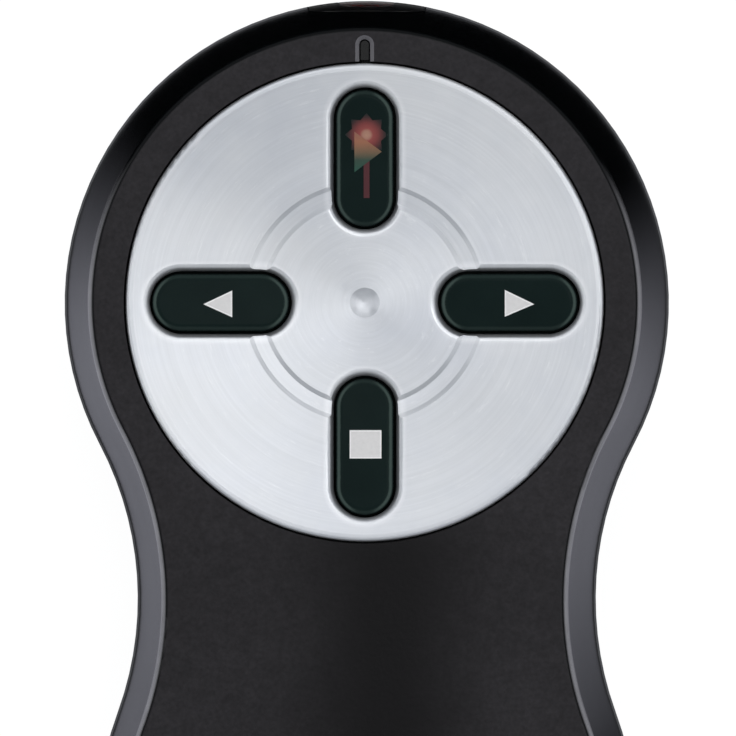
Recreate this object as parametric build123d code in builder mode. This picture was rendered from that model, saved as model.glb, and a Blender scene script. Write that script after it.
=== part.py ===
from build123d import *
import math
import os

# Wireless presentation clicker: an hourglass casing in two halves, a dished silver disc with four
# keys, a laser in the nose, two AAA cells under a sliding door, and a USB receiver docked in the
# tail. X runs across, +Y runs to the laser nose and +Z comes out of the key face. The origin is on
# the resting plane, under the middle of the part. All sizes are millimetres.

# ---- fits ----
RUN = 0.2  # all round a piece that slides
SNUG = 0.1  # all round a piece that is fixed in a hole or pocket
FREE = 0.3  # between pieces that must never touch
PAST = 1.0  # how far a cut runs past the surface that it opens

# ---- casing skin ----
WALL = 1.8
RIM_STEP = 0.15  # the lower half stands this far outside the upper one at the parting line
UPPER_DRAFT = 2.0  # how far the upper wall leans in, from the parting line to the face
LOWER_DRAFT = 2.0  # the same, from the parting line to the underside
EDGE_R = 0.5  # edge of the face
BELLY_R = 4.5  # edge of the underside
SPLIT_Z = 12.0  # parting line
LIP_H = 1.0  # tongue of the lower half that locates the upper one
LIP_T = 0.75
RIB_T = 1.2

# ---- key disc ----
DISC_R = 17.15
DISC_T = 2.2  # at its rim
DISC_GAP = 0.15
DISC_RIM_W = 0.5
DISC_EDGE_R = 0.3
DISH_DEPTH = 1.1
LAND = 2.45  # flat face of the casing round the disc
PAN_T = 1.5  # casing under the disc
RING_R = 7.15  # inner edge of the shallow groove round the middle
RING_W = 1.55
RING_SLOPE = 0.32
RING_DEPTH = 0.16
DIMPLE_R = 1.07
DIMPLE_DEPTH = 0.3
POST_D = 1.8
POST_INSET = 3.4  # from the disc's edge to the locating posts
POST_ANGLES = (60, 120, 240, 300)
POST_PROUD = 0.5  # below the casing's pan

# ---- keys and their switches ----
KEY_ANGLES = {"forward": 0, "laser": 90, "back": 180, "stop": 270}
KEY_L = 9.8
KEY_W = 4.1
KEY_GAP = 0.2  # between a key and its well in the disc
KEY_FROM_EDGE = 1.7  # from a well's outer end to the disc's edge
KEY_PROUD = 0.35  # above the dish
KEY_EDGE_R = 0.48
KEY_TRAVEL = 0.4
WELL_EDGE_R = 0.52
FLANGE_W = 1.0  # how far the hidden flange reaches past the key
FLANGE_T = 0.8
NUB_D = 2.6
NUB_H = 0.5
SWITCH_W = 6.0
SWITCH_CHAMFER = 0.5
SWITCH_BODY_H = 1.8
PLUNGER_D = 3.0
PLUNGER_H = 0.6
SWITCH_LEG = 0.9
SWITCH_LEG_PITCH = 4.2

# ---- main board ----
BOARD_T = 1.2
BOARD_ROOM = 2.2  # from the head's wall to the board
BOARD_SCREW_DROP = 8.9
BOARD_SCREW_X = 12.2
TAIL_SCREW_X = 9.5
TAIL_SCREW_IN = 5.2
BOARD_CORNER_R = 2.0
CHIP_W = 5.0
CHIP_H = 0.9
CHIP_CHAMFER = 0.2
CHIP_X = -6.2
CRYSTAL_L = 5.0
CRYSTAL_W = 3.2
CRYSTAL_H = 1.2
CRYSTAL_X = 5.6
CHIP_PAST_BAY = 9.6  # from the bay to the radio chip and its crystal
PASSIVE_L = 1.6
PASSIVE_W = 0.8
PASSIVE_H = 0.6
DOCK_W = 4.0
DOCK_L = 3.2
DOCK_H = 1.6
DOCK_LEVER_T = 0.3
DOCK_LEVER_HALF = 1.0

# ---- screws ----
CASE_SCREW_D = 2.0
CASE_HEAD_D = 3.8
CASE_HEAD_H = 1.4
CASE_SCREW_L = 9.0
CASE_SCREW_RING_R = 14.0
CASE_SCREW_ANGLES = (35, 145)
CASE_SEAT = 3.0  # lower casing left above the screw heads
THREAD_ROOM = 0.05
BOARD_SCREW_D = 1.6
BOARD_HEAD_D = 3.2
BOARD_HEAD_H = 1.1
BOARD_SCREW_L = 4.5
ROOF_SCREW_L = 2.4
RECESS_W = 0.6  # cross recess: its width and depth, and its arms, as parts of the head
RECESS_ARM = 0.15
HEAD_ROUND = 0.3  # edge of a pan head, as part of its height
BOSS_T = 1.25

# ---- battery cells, bay and door ----
CELL_D = 10.5
CELL_L = 44.5
CELL_SPACING = 11.0
CELL_NUB_D = 3.8
CELL_NUB_H = 0.8
CELL_ROOM = 0.25  # round a cell in its trough
SPRING_ROOM = 3.9
CONTACT_T = 0.4
CONTACT_W = 8.0
CONTACT_DOWN = 4.2  # below and above the cell's axis
CONTACT_UP = 3.4
STUD_D = 3.0  # stud that meets a cell's positive end
STUD_H = 0.3
LEG_W = 1.5
LEAF_W = 4.0
LEAF_T = 0.4
BAY_WALL = 1.2
BAY_SIDE = 7.7  # from the bay's wall to the widest line of the tail
ROOF_T = 0.8  # bay roof, which is also the floor of the receiver's slot
TAIL_WALL = 5.4  # from the bay to the tail's end, at the parting line
DOOR_T = 1.8
DOOR_MARGIN = 1.5  # door beyond the bay, on each side
DOOR_LIP_H = 6.0
DOOR_LIP_HALF = 9.0
DOOR_LIP_IN = 3.6
RAIL_W = 0.8
RAIL_T = 0.8
RAIL_L = 6.0
RAIL_COUNT = 3
RAIL_PITCH = 15.0
TONGUE_L = 1.6
TONGUE_HALF = 8.0
RIDGE_H = 2.5  # the ridge between the troughs stops this far above the cells' axes
GRIP_W = 14.0
GRIP_T = 1.0
GRIP_IN = 11.0  # from the tail to the last grip groove
GRIP_COUNT = 5
GRIP_PITCH = 2.0
GRIP_DEPTH = 0.4

# ---- receiver ----
RX_W = 17.0
RX_T = 6.9
RX_L = 31.0
RX_WALL = 1.0
CAP_WALL = 1.5
RX_CORNER_R = 2.5
RX_EDGE_R = 0.6
CAP_PROUD = 2.3  # past the casing's tail
TAIL_ROOF_T = 1.7
PLUG_W = 12.0
PLUG_T = 4.5
PLUG_L = 14.0
PLUG_SHEET = 0.3
PLUG_ROOT = 4.0  # plug shell held inside the housing
RX_BOARD_T = 0.8
PIN_W = 1.0
PIN_T = 0.15
PIN_X = (-3.5, -1.0, 1.0, 3.5)
PIN_IN = 3.0  # from the plug's mouth
PLUG_LATCH_W = 2.0
PLUG_LATCH_IN = 6.0
RX_GROOVES = 2
RX_GROOVE_PITCH = 0.85
RX_GROOVE_W = 0.4
RX_GROOVE_L = 11.4

# ---- laser ----
BARREL_D = 6.6
BARREL_L = 11.5
BARREL_BORE = 5.7
BARREL_FRONT = 1.8  # from the barrel to the bezel's seat
LENS_D = 5.6
LENS_T = 1.8
CAN_FLANGE_T = 1.2
CAN_D = 3.6
CAN_L = 2.4
BARREL_LIP = 0.8
CAN_IN = 1.0
LEAD_D = 0.45
LEAD_PITCH = 1.2
LEAD_OUT = 3.0
BEZEL_D = 8.4
BEZEL_T = 2.3  # at the tip of the nose
BEZEL_SPIGOT_D = 6.4
BEZEL_SPIGOT_L = 1.2
BEZEL_BORE = 4.2  # the window fills it, flush with the nose
NOSE_BOSS_D = 10.4
NOSE_BOSS_L = 1.4
WINDOW_D = 5.2
WINDOW_T = 1.0
SADDLE_IN = 2.0  # from the barrel's ends to its saddles

# ---- status light ----
LENS_SLOT_W = 1.34  # at the face
LENS_SLOT_L = 1.87
LENS_BEVEL = 0.28
LENS_SINK = 0.4
LED_L = 1.6
LED_W = 0.8
LED_H = 0.7

# ---- plan of the casing ----
WAIST_CUT = 3.3  # the waist is this much narrower than the tail, on each side
WAIST_R = 24.0
FLARE_R = 31.0
SIDE_R = 200.0
CORNER_R = 12.0
END_R = 40.0
HEAD_TO_BAY = 27.5
FALL = 1.6  # drop of the face towards the tail
FLAT_PAST_DISC = 10.0
ARCH_FROM_HEAD = 6.9  # finger arch of the underside
ARCH_R = 34.0
ARCH_H = 2.0
ARCH_BLEND_R = 12.0

# ---- heights, worked out from the stack of pieces in the tail ----
CELL_Z = DOOR_T + RUN + CELL_D / 2
ROOF_Z = CELL_Z + CELL_D / 2 + CELL_ROOM  # crown of the troughs
SLOT_Z = ROOF_Z + ROOF_T
RX_Z = SLOT_Z + RUN + RX_T / 2  # middle of the receiver
SLOT_TOP_Z = RX_Z + RX_T / 2 + RUN
HEIGHT = SLOT_TOP_Z + TAIL_ROOF_T + FALL
DISC_SEAT_Z = HEIGHT - DISC_T
PAN_Z = DISC_SEAT_Z - PAN_T
FLANGE_Z = PAN_Z - RUN - FLANGE_T
SWITCH_TOP_Z = FLANGE_Z - NUB_H
BOARD_TOP_Z = SWITCH_TOP_Z - PLUNGER_H - SWITCH_BODY_H
BOARD_Z = BOARD_TOP_Z - BOARD_T
LASER_Z = BOARD_Z - FREE - BARREL_D / 2
SCREW_SEAT_Z = SPLIT_Z - CASE_SEAT

# ---- lengths and widths, worked out from the cells and the disc ----
BAY_HALF = CELL_SPACING / 2 + CELL_D / 2 + CELL_ROOM
BAY_L = CELL_L + SPRING_ROOM + 2 * CONTACT_T + STUD_H
TAIL_HALF = BAY_HALF + BAY_WALL + BAY_SIDE
WAIST_HALF = TAIL_HALF - WAIST_CUT
HEAD_R = DISC_R + DISC_GAP + LAND + UPPER_DRAFT + RIM_STEP
LENGTH = HEAD_R + HEAD_TO_BAY + BAY_L + TAIL_WALL + CAP_PROUD
HEAD_Y = LENGTH / 2 - HEAD_R
NOSE_Y = HEAD_Y + HEAD_R
BAY_FRONT_Y = HEAD_Y - HEAD_TO_BAY
BAY_BACK_Y = BAY_FRONT_Y - BAY_L
TAIL_Y = BAY_BACK_Y - TAIL_WALL
RX_BACK_Y = TAIL_Y - CAP_PROUD
RX_FRONT_Y = RX_BACK_Y + RX_L
PLUG_TIP_Y = RX_FRONT_Y + PLUG_L
FALL_Y = HEAD_Y - DISC_R - FLAT_PAST_DISC
ARCH_Y = HEAD_Y - ARCH_FROM_HEAD
KEY_ORBIT = DISC_R - KEY_FROM_EDGE - KEY_L / 2 - KEY_GAP
DISH_HALF = DISC_R - DISC_RIM_W
BOARD_R = HEAD_R - RIM_STEP - WALL - BOARD_ROOM
BOARD_HALF = WAIST_HALF - 2 * BOARD_ROOM
HEAD_BORE_R = CASE_HEAD_D / 2 + FREE
MID_SCREW_Y = BAY_FRONT_Y + BAY_WALL + HEAD_BORE_R + FREE
DOOR_HALF = BAY_HALF + DOOR_MARGIN
DOOR_FRONT_Y = MID_SCREW_Y + HEAD_BORE_R + WALL
DOOR_LIP_Y = TAIL_Y + DOOR_LIP_IN
BOARD_BACK_Y = PLUG_TIP_Y + 2 * FREE
SPOT_Y = NOSE_Y - BEZEL_T
BARREL_FRONT_Y = SPOT_Y - BARREL_FRONT
LENS_Y = HEAD_Y + DISC_R + DISC_GAP + LENS_SLOT_L / 2

HEAD_AXIS = Axis((0, HEAD_Y, 0), (0, 0, 1))
LASER_AXIS = Axis((0, 0, LASER_Z), (0, 1, 0))
LASER_SECTION = Plane(origin=(0, 0, LASER_Z), x_dir=(0, 1, 0), z_dir=(1, 0, 0))
HEAD_SECTION = Plane(origin=(0, HEAD_Y, 0), x_dir=(1, 0, 0), z_dir=(0, -1, 0))
FLOOR_BOARD_SCREWS = [(side * BOARD_SCREW_X, HEAD_Y - BOARD_SCREW_DROP) for side in (-1, 1)]
ROOF_BOARD_SCREWS = [(side * TAIL_SCREW_X, BOARD_BACK_Y + TAIL_SCREW_IN) for side in (-1, 1)]
CELL_XS = (-CELL_SPACING / 2, CELL_SPACING / 2)


def around_head(r, angle):
    """The point at this distance from the head's middle, on this bearing."""
    return Vector(r, 0).rotate(Axis.Z, angle) + Vector(0, HEAD_Y)


HEAD_SCREWS = [around_head(CASE_SCREW_RING_R, angle) for angle in CASE_SCREW_ANGLES]
CASE_SCREWS = HEAD_SCREWS + [Vector(0, MID_SCREW_Y)]
POSTS = [around_head(DISC_R - POST_INSET, angle) for angle in POST_ANGLES]


def write(piece, name):
    """Label one finished piece and write it."""
    piece.part.label = name
    export_step(piece.part, f"parts/{name}.step")


def towards(start, goal, reach):
    """The point that lies this far from start on the way to goal."""
    return start + (goal - start).normalized() * reach


def casing_outline(inset=0.0):
    """Plan of the casing, a closed chain of tangent arcs, moved inwards by inset."""
    head = Vector(0, HEAD_Y)
    neck = math.sqrt((HEAD_R + WAIST_R) ** 2 - (WAIST_HALF + WAIST_R) ** 2)
    waist = Vector(WAIST_HALF + WAIST_R, HEAD_Y - neck)
    flare_x = TAIL_HALF - FLARE_R
    flare = Vector(flare_x, waist.Y - math.sqrt((WAIST_R + FLARE_R) ** 2 - (waist.X - flare_x) ** 2))
    side = Vector(TAIL_HALF - SIDE_R, flare.Y)
    end = Vector(0, TAIL_Y + END_R)
    # The corner's centre is where circles about the side's and the end's centres cross.
    from_side = SIDE_R - CORNER_R
    from_end = END_R - CORNER_R
    apart = end - side
    along = (apart.length**2 + from_side**2 - from_end**2) / (2 * apart.length)
    aside = math.sqrt(from_side**2 - along**2)
    line = apart.normalized()
    corner = side + line * along + Vector(line.Y, -line.X) * aside
    joins = [
        towards(head, waist, HEAD_R - inset),
        towards(waist, flare, WAIST_R + inset),
        Vector(TAIL_HALF - inset, flare.Y),
        towards(side, corner, SIDE_R - inset),
        towards(end, corner, END_R - inset),
        Vector(0, TAIL_Y + inset),
    ]
    with BuildSketch() as plan:
        with BuildLine():
            arc = TangentArc((0, NOSE_Y - inset), joins[0], tangent=(1, 0))
            for join in joins[1:]:
                arc = TangentArc(arc @ 1, join, tangent=arc % 1)
            mirror(about=Plane.YZ)
        make_face()
    return plan.sketch


def underside_profile(inset=0.0):
    """Side view of the solid above the underside: flat, with the finger arch blended in."""
    arch = Vector(ARCH_Y, ARCH_H - ARCH_R)
    reach = math.sqrt((ARCH_R + ARCH_BLEND_R) ** 2 - (ARCH_BLEND_R - arch.Y) ** 2)
    start, finish = ARCH_Y - reach, ARCH_Y + reach
    rise = towards(arch, Vector(start, ARCH_BLEND_R), ARCH_R + inset)
    sink = towards(arch, Vector(finish, ARCH_BLEND_R), ARCH_R + inset)
    with BuildSketch(Plane.YZ) as view:
        with BuildLine():
            Line((-LENGTH, inset), (start, inset))
            blend = TangentArc((start, inset), rise, tangent=(1, 0))
            crown = TangentArc(blend @ 1, sink, tangent=blend % 1)
            blend = TangentArc(crown @ 1, (finish, inset), tangent=crown % 1)
            Polyline(blend @ 1, (LENGTH, inset), (LENGTH, HEIGHT), (-LENGTH, HEIGHT), (-LENGTH, inset))
        make_face()
    return view.sketch


def face_profile(inset=0.0):
    """Side view of the solid under the face: flat over the head, falling gently to the tail."""
    run = FALL_Y - TAIL_Y
    fall_r = (run**2 + FALL**2) / (2 * FALL)
    tail_z = HEIGHT - fall_r + math.sqrt((fall_r - inset) ** 2 - run**2)
    with BuildSketch(Plane.YZ) as view:
        with BuildLine():
            crest = (FALL_Y, HEIGHT - inset)
            Polyline((TAIL_Y, tail_z), (TAIL_Y, 0), (LENGTH, 0), (LENGTH, HEIGHT - inset), crest)
            TangentArc(crest, (TAIL_Y, tail_z), tangent=(-1, 0))
        make_face()
    return view.sketch


def lower_form(inset=0.0):
    """The lower half as one solid body, with its whole underside edge rounded."""
    with BuildPart() as form:
        with BuildSketch():
            add(casing_outline(LOWER_DRAFT + inset))
        with BuildSketch(Plane.XY.offset(SPLIT_Z)):
            add(casing_outline(inset))
        loft(ruled=True)
        extrude(underside_profile(inset), amount=HEAD_R + PAST, both=True, mode=Mode.INTERSECT)
        rim = form.edges().filter_by_position(Axis.Z, 0, ARCH_H + WALL).filter_by(Axis.X, reverse=True)
        fillet(rim, BELLY_R - inset)
    return form.part


def upper_form(inset=0.0, edge=0.0):
    """The upper half as one solid body."""
    with BuildPart() as form:
        with BuildSketch(Plane.XY.offset(SPLIT_Z)):
            add(casing_outline(RIM_STEP + inset))
        with BuildSketch(Plane.XY.offset(HEIGHT)):
            add(casing_outline(RIM_STEP + UPPER_DRAFT + inset))
        loft(ruled=True)
        extrude(face_profile(inset), amount=HEAD_R + PAST, both=True, mode=Mode.INTERSECT)
        if edge:
            rim = form.edges().filter_by_position(Axis.Z, HEIGHT - FALL - edge, HEIGHT + edge)
            fillet(rim.filter_by(Axis.X, reverse=True), edge)
    return form.part


def key_slots(length, width):
    """Four long holes, one for each key, as a flat figure."""
    with BuildSketch() as figure:
        for angle in KEY_ANGLES.values():
            with Locations(Location((0, HEAD_Y, 0), (0, 0, angle))):
                with Locations((KEY_ORBIT, 0)):
                    SlotOverall(length, width)
    return figure.sketch


def window(inset, open_y):
    """Plan of the status light's window: round towards the nose, running back to open_y."""
    half = LENS_SLOT_W / 2 - inset
    round_y = LENS_Y + LENS_SLOT_L / 2 - LENS_SLOT_W / 2
    with BuildSketch() as figure:
        with Locations((0, round_y)):
            Circle(half)
        with Locations((0, (round_y + open_y) / 2)):
            Rectangle(2 * half, round_y - open_y)
    return figure.sketch


def block(x_range, y_range, z_range):
    """A plain box from its limits."""
    with BuildPart() as box:
        with BuildSketch(Plane.XY.offset(z_range[0])):
            with Locations(((x_range[0] + x_range[1]) / 2, (y_range[0] + y_range[1]) / 2)):
                Rectangle(x_range[1] - x_range[0], y_range[1] - y_range[0])
        extrude(amount=z_range[1] - z_range[0])
    return box.part


def across(half, y_range, z_range):
    """A plain box that is centred across the part."""
    return block((-half, half), y_range, z_range)


def rod(diameter, y_range):
    """A cylinder on the laser's axis."""
    with BuildPart() as cylinder:
        with BuildSketch(Plane.XZ.offset(-y_range[0])):
            with Locations((0, LASER_Z)):
                Circle(diameter / 2)
        extrude(amount=y_range[0] - y_range[1])
    return cylinder.part


def columns(places, radius, z_range):
    """Upright cylinders at these places."""
    with BuildPart() as group:
        with BuildSketch(Plane.XY.offset(z_range[0])):
            with Locations(*places):
                Circle(radius)
        extrude(amount=z_range[1] - z_range[0])
    return group.part


os.makedirs("parts", exist_ok=True)

# ---- cuts that both casing halves share ----
SLOT_HALF = RX_W / 2 + RUN
receiver_slot = across(SLOT_HALF, (-LENGTH, RX_FRONT_Y + RUN), (SLOT_Z, SLOT_TOP_Z))
laser_bore = rod(BEZEL_SPIGOT_D + 2 * SNUG, (HEAD_Y, NOSE_Y))
bezel_spot = rod(BEZEL_D + 2 * SNUG, (SPOT_Y, NOSE_Y + PAST))
nose_boss = rod(NOSE_BOSS_D, (SPOT_Y - NOSE_BOSS_L, NOSE_Y))

# ---- upper casing: one moulding with the disc's pan, the receiver's slot and the screw bosses ----
pan_centre = [(0, HEAD_Y)]
pan_r = DISC_R + DISC_GAP + RIB_T
with BuildPart() as slot_ribs:
    for side in (-1, 1):
        wall = sorted((side * SLOT_HALF, side * (SLOT_HALF + RIB_T)))
        stop = sorted((side * (PLUG_W / 2 + FREE), side * (SLOT_HALF + RIB_T)))
        add(block(wall, (TAIL_Y, RX_FRONT_Y + RUN + RIB_T), (SLOT_Z + RUN, HEIGHT)))
        add(block(stop, (RX_FRONT_Y + RUN, RX_FRONT_Y + RUN + RIB_T), (SLOT_Z + RUN, HEIGHT)))
    add(upper_form(WALL / 2), mode=Mode.INTERSECT)
with BuildPart() as upper_nose:
    add(nose_boss)
    add(upper_form(WALL / 2), mode=Mode.INTERSECT)
seat_y = LENS_Y - LENS_SLOT_L / 2
with BuildPart() as status_slot:
    with BuildSketch(Plane.XY.offset(BOARD_TOP_Z + LED_H)):
        add(window(LENS_BEVEL, seat_y - DISC_GAP / 2))
    extrude(amount=HEIGHT - BOARD_TOP_Z - LED_H)
    for z, inset in ((HEIGHT - LENS_BEVEL, LENS_BEVEL), (HEIGHT, 0)):
        with BuildSketch(Plane.XY.offset(z)):
            add(window(inset, seat_y - DISC_GAP / 2))
    loft(ruled=True)
with BuildPart() as top_shell:
    add(upper_form(0, EDGE_R))
    add(upper_form(WALL), mode=Mode.SUBTRACT)
    with BuildSketch(Plane.XY.offset(SPLIT_Z)):
        add(casing_outline(RIM_STEP + WALL - LIP_T - SNUG))
    extrude(amount=LIP_H + RUN, mode=Mode.SUBTRACT)
    add(columns(pan_centre, pan_r, (PAN_Z, HEIGHT - EDGE_R)))
    add(columns(HEAD_SCREWS, CASE_SCREW_D / 2 + BOSS_T, (SPLIT_Z, PAN_Z + PAN_T / 2)))
    add(columns([(0, MID_SCREW_Y)], CASE_SCREW_D / 2 + BOSS_T, (SPLIT_Z, HEIGHT - WALL / 2)))
    add(slot_ribs.part)
    add(upper_nose.part)
    add(columns(pan_centre, DISC_R + DISC_GAP, (DISC_SEAT_Z, HEIGHT + PAST)), mode=Mode.SUBTRACT)
    with BuildSketch(Plane.XY.offset(PAN_Z)):
        add(key_slots(KEY_L + 2 * RUN, KEY_W + 2 * RUN))
        with Locations(*POSTS):
            Circle(POST_D / 2 + SNUG)
    extrude(amount=PAN_T, mode=Mode.SUBTRACT)
    thread_top = SCREW_SEAT_Z + CASE_SCREW_L + FREE
    add(columns(CASE_SCREWS, CASE_SCREW_D / 2 + THREAD_ROOM, (SPLIT_Z, thread_top)), mode=Mode.SUBTRACT)
    add(status_slot.part, mode=Mode.SUBTRACT)
    add(receiver_slot, mode=Mode.SUBTRACT)
    add(laser_bore, mode=Mode.SUBTRACT)
    add(bezel_spot, mode=Mode.SUBTRACT)
write(top_shell, "top_shell")

# ---- lower casing: skin, battery bay, door bed, board posts, screw tubes and laser saddles ----
lower_skin = lower_form()
with BuildPart() as lower_reach:
    add(lower_skin)
    with BuildSketch(Plane.XY.offset(SPLIT_Z)):
        add(casing_outline(RIM_STEP + WALL + FREE + SNUG))
    extrude(amount=BOARD_Z - SPLIT_Z)
bed_half = DOOR_HALF + RAIL_W + RUN + WALL
tongue_end = DOOR_FRONT_Y + TONGUE_L + RUN
saddle_half = BARREL_D / 2 + RIB_T
saddle_ys = (BARREL_FRONT_Y - SADDLE_IN - RIB_T, BARREL_FRONT_Y - BARREL_L + SADDLE_IN)
board_post_r = BOARD_SCREW_D / 2 + BOSS_T
with BuildPart() as lower_works:
    add(across(BAY_HALF + BAY_WALL, (TAIL_Y, BAY_FRONT_Y + BAY_WALL), (0, SLOT_Z)))
    add(across(bed_half, (TAIL_Y, tongue_end + WALL), (0, DOOR_T + SNUG + WALL)))
    add(columns(CASE_SCREWS, HEAD_BORE_R + BOSS_T, (0, SPLIT_Z)))
    add(columns(FLOOR_BOARD_SCREWS, board_post_r, (0, BOARD_Z)))
    add(columns(ROOF_BOARD_SCREWS, board_post_r, (SLOT_Z, BOARD_Z)))
    for y in saddle_ys:
        add(across(saddle_half, (y, y + RIB_T), (0, LASER_Z)))
    for y in (ARCH_Y - ARCH_BLEND_R / 2, ARCH_Y + ARCH_BLEND_R / 2):
        add(across(HEAD_R, (y - RIB_T / 2, y + RIB_T / 2), (0, SPLIT_Z / 2)))
    add(lower_reach.part, mode=Mode.INTERSECT)
with BuildPart() as lower_nose:
    add(nose_boss)
    add(lower_form(WALL / 2), mode=Mode.INTERSECT)
with BuildPart() as bay:
    with BuildSketch(Plane.XZ.offset(-BAY_FRONT_Y)):
        with Locations(*[(x, CELL_Z) for x in CELL_XS]):
            Circle(CELL_D / 2 + CELL_ROOM)
        with Locations((0, (CELL_Z + RIDGE_H) / 2)):
            Rectangle(2 * BAY_HALF, CELL_Z + RIDGE_H)
    extrude(amount=BAY_L)
rail_z = DOOR_T - RAIL_T
rail_ys = [BAY_FRONT_Y - RAIL_L - i * RAIL_PITCH for i in range(RAIL_COUNT)]
door_room = (-PAST, DOOR_T + SNUG)
with BuildPart() as bottom_shell:
    add(lower_skin)
    add(lower_form(RIM_STEP + WALL), mode=Mode.SUBTRACT)
    with BuildSketch(Plane.XY.offset(SPLIT_Z)):
        add(casing_outline(RIM_STEP + WALL - LIP_T))
        add(casing_outline(RIM_STEP + WALL), mode=Mode.SUBTRACT)
    extrude(amount=LIP_H)
    add(lower_works.part)
    add(lower_nose.part)
    add(bay.part, mode=Mode.SUBTRACT)
    add(across(DOOR_HALF + RUN, (-LENGTH, DOOR_FRONT_Y + RUN), door_room), mode=Mode.SUBTRACT)
    lip_back = (-LENGTH, DOOR_LIP_Y + RUN)
    add(across(DOOR_LIP_HALF + RUN, lip_back, (-PAST, DOOR_LIP_H + RUN)), mode=Mode.SUBTRACT)
    groove = (rail_z - RUN, DOOR_T + SNUG)
    groove_back = (-LENGTH, rail_ys[0] + RAIL_L / 2 + RUN)
    add(across(DOOR_HALF + RAIL_W + RUN, groove_back, groove), mode=Mode.SUBTRACT)
    add(across(TONGUE_HALF + RUN, (BAY_FRONT_Y, tongue_end), groove), mode=Mode.SUBTRACT)
    for x in CELL_XS:
        leg_slot = (x - LEG_W / 2 - RUN, x + LEG_W / 2 + RUN)
        leg_y = (BAY_FRONT_Y - CONTACT_T - RUN, BAY_FRONT_Y + SNUG)
        add(block(leg_slot, leg_y, (CELL_Z, SLOT_Z + PAST)), mode=Mode.SUBTRACT)
    add(columns(CASE_SCREWS, HEAD_BORE_R, (-PAST, SCREW_SEAT_Z)), mode=Mode.SUBTRACT)
    add(columns(CASE_SCREWS, CASE_SCREW_D / 2 + SNUG, (SCREW_SEAT_Z, SPLIT_Z)), mode=Mode.SUBTRACT)
    board_thread = BOARD_SCREW_D / 2 + THREAD_ROOM
    post_bottom = BOARD_TOP_Z - BOARD_SCREW_L - FREE
    roof_bottom = BOARD_TOP_Z - ROOF_SCREW_L - FREE
    add(columns(FLOOR_BOARD_SCREWS, board_thread, (post_bottom, BOARD_Z)), mode=Mode.SUBTRACT)
    add(columns(ROOF_BOARD_SCREWS, board_thread, (roof_bottom, BOARD_Z)), mode=Mode.SUBTRACT)
    barrel_reach = (BARREL_FRONT_Y - BARREL_L, BARREL_FRONT_Y)
    add(rod(BARREL_D + SNUG, barrel_reach), mode=Mode.SUBTRACT)
    nose_gap = (HEAD_Y, NOSE_Y)
    add(across(NOSE_BOSS_D / 2 + RUN, nose_gap, (SPLIT_Z, SPLIT_Z + LIP_H)), mode=Mode.SUBTRACT)
    add(receiver_slot, mode=Mode.SUBTRACT)
    add(laser_bore, mode=Mode.SUBTRACT)
    add(bezel_spot, mode=Mode.SUBTRACT)
write(bottom_shell, "bottom_shell")

# ---- battery door: slides off the tail on short side rails, with a tongue under the casing ----
with BuildPart() as battery_door:
    add(across(DOOR_HALF, (-LENGTH, DOOR_FRONT_Y), (-PAST, DOOR_T)))
    add(across(DOOR_LIP_HALF, (-LENGTH, DOOR_LIP_Y), (-PAST, DOOR_LIP_H)))
    add(lower_skin, mode=Mode.INTERSECT)
    for y in rail_ys:
        add(across(DOOR_HALF + RAIL_W, (y - RAIL_L / 2, y + RAIL_L / 2), (rail_z, DOOR_T)))
    add(across(TONGUE_HALF, (DOOR_FRONT_Y - PAST, DOOR_FRONT_Y + TONGUE_L), (rail_z, DOOR_T)))
    with BuildSketch():
        with Locations(*[(0, TAIL_Y + GRIP_IN + i * GRIP_PITCH) for i in range(GRIP_COUNT)]):
            SlotOverall(GRIP_W, GRIP_T)
    extrude(amount=GRIP_DEPTH, mode=Mode.SUBTRACT)
write(battery_door, "battery_door")

# ---- key disc: dished, with four wells, a ring groove, a centre dimple and locating posts ----
DISH_LOW = HEIGHT - DISH_DEPTH


def dish_height(r):
    """Height of the dish at this distance from its middle."""
    dish_r = (DISH_HALF**2 + DISH_DEPTH**2) / (2 * DISH_DEPTH)
    return DISH_LOW + dish_r - math.sqrt(dish_r**2 - r**2)


with BuildPart() as face_disc:
    with BuildSketch(HEAD_SECTION):
        with BuildLine():
            dish = TangentArc((0, DISH_LOW), (DISH_HALF, HEIGHT), tangent=(1, 0))
            Polyline(dish @ 1, (DISC_R, HEIGHT), (DISC_R, DISC_SEAT_Z), (0, DISC_SEAT_Z), dish @ 0)
        make_face()
    revolve(axis=HEAD_AXIS)
    rim = face_disc.edges().filter_by_position(Axis.Z, HEIGHT - SNUG, HEIGHT + SNUG)
    fillet(rim, DISC_EDGE_R)
    with BuildSketch(Plane.XY.offset(DISC_SEAT_Z)):
        add(key_slots(KEY_L + 2 * KEY_GAP, KEY_W + 2 * KEY_GAP))
    extrude(amount=DISC_T, mode=Mode.SUBTRACT)
    well_edges = face_disc.edges().filter_by_position(Axis.Z, DISH_LOW + SNUG, HEIGHT - SNUG)
    fillet(well_edges.filter_by(GeomType.LINE, reverse=True), WELL_EDGE_R)
    with BuildSketch(HEAD_SECTION):
        ring_end = RING_R + RING_W
        low_z, high_z = dish_height(RING_R), dish_height(ring_end)
        with BuildLine():
            Polyline(
                (RING_R, low_z),
                (RING_R + RING_SLOPE, low_z - RING_DEPTH),
                (ring_end - RING_SLOPE, high_z - RING_DEPTH),
                (ring_end, high_z),
                (ring_end, HEIGHT),
                (RING_R, HEIGHT),
                close=True,
            )
        make_face()
    revolve(axis=HEAD_AXIS, mode=Mode.SUBTRACT)
    dimple_r = (DIMPLE_R**2 + DIMPLE_DEPTH**2) / (2 * DIMPLE_DEPTH)
    with Locations((0, HEAD_Y, DISH_LOW - DIMPLE_DEPTH + dimple_r)):
        Sphere(dimple_r, mode=Mode.SUBTRACT)
    add(columns(POSTS, POST_D / 2, (PAN_Z - POST_PROUD, DISC_SEAT_Z + SNUG)))
write(face_disc, "face_disc")

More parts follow.
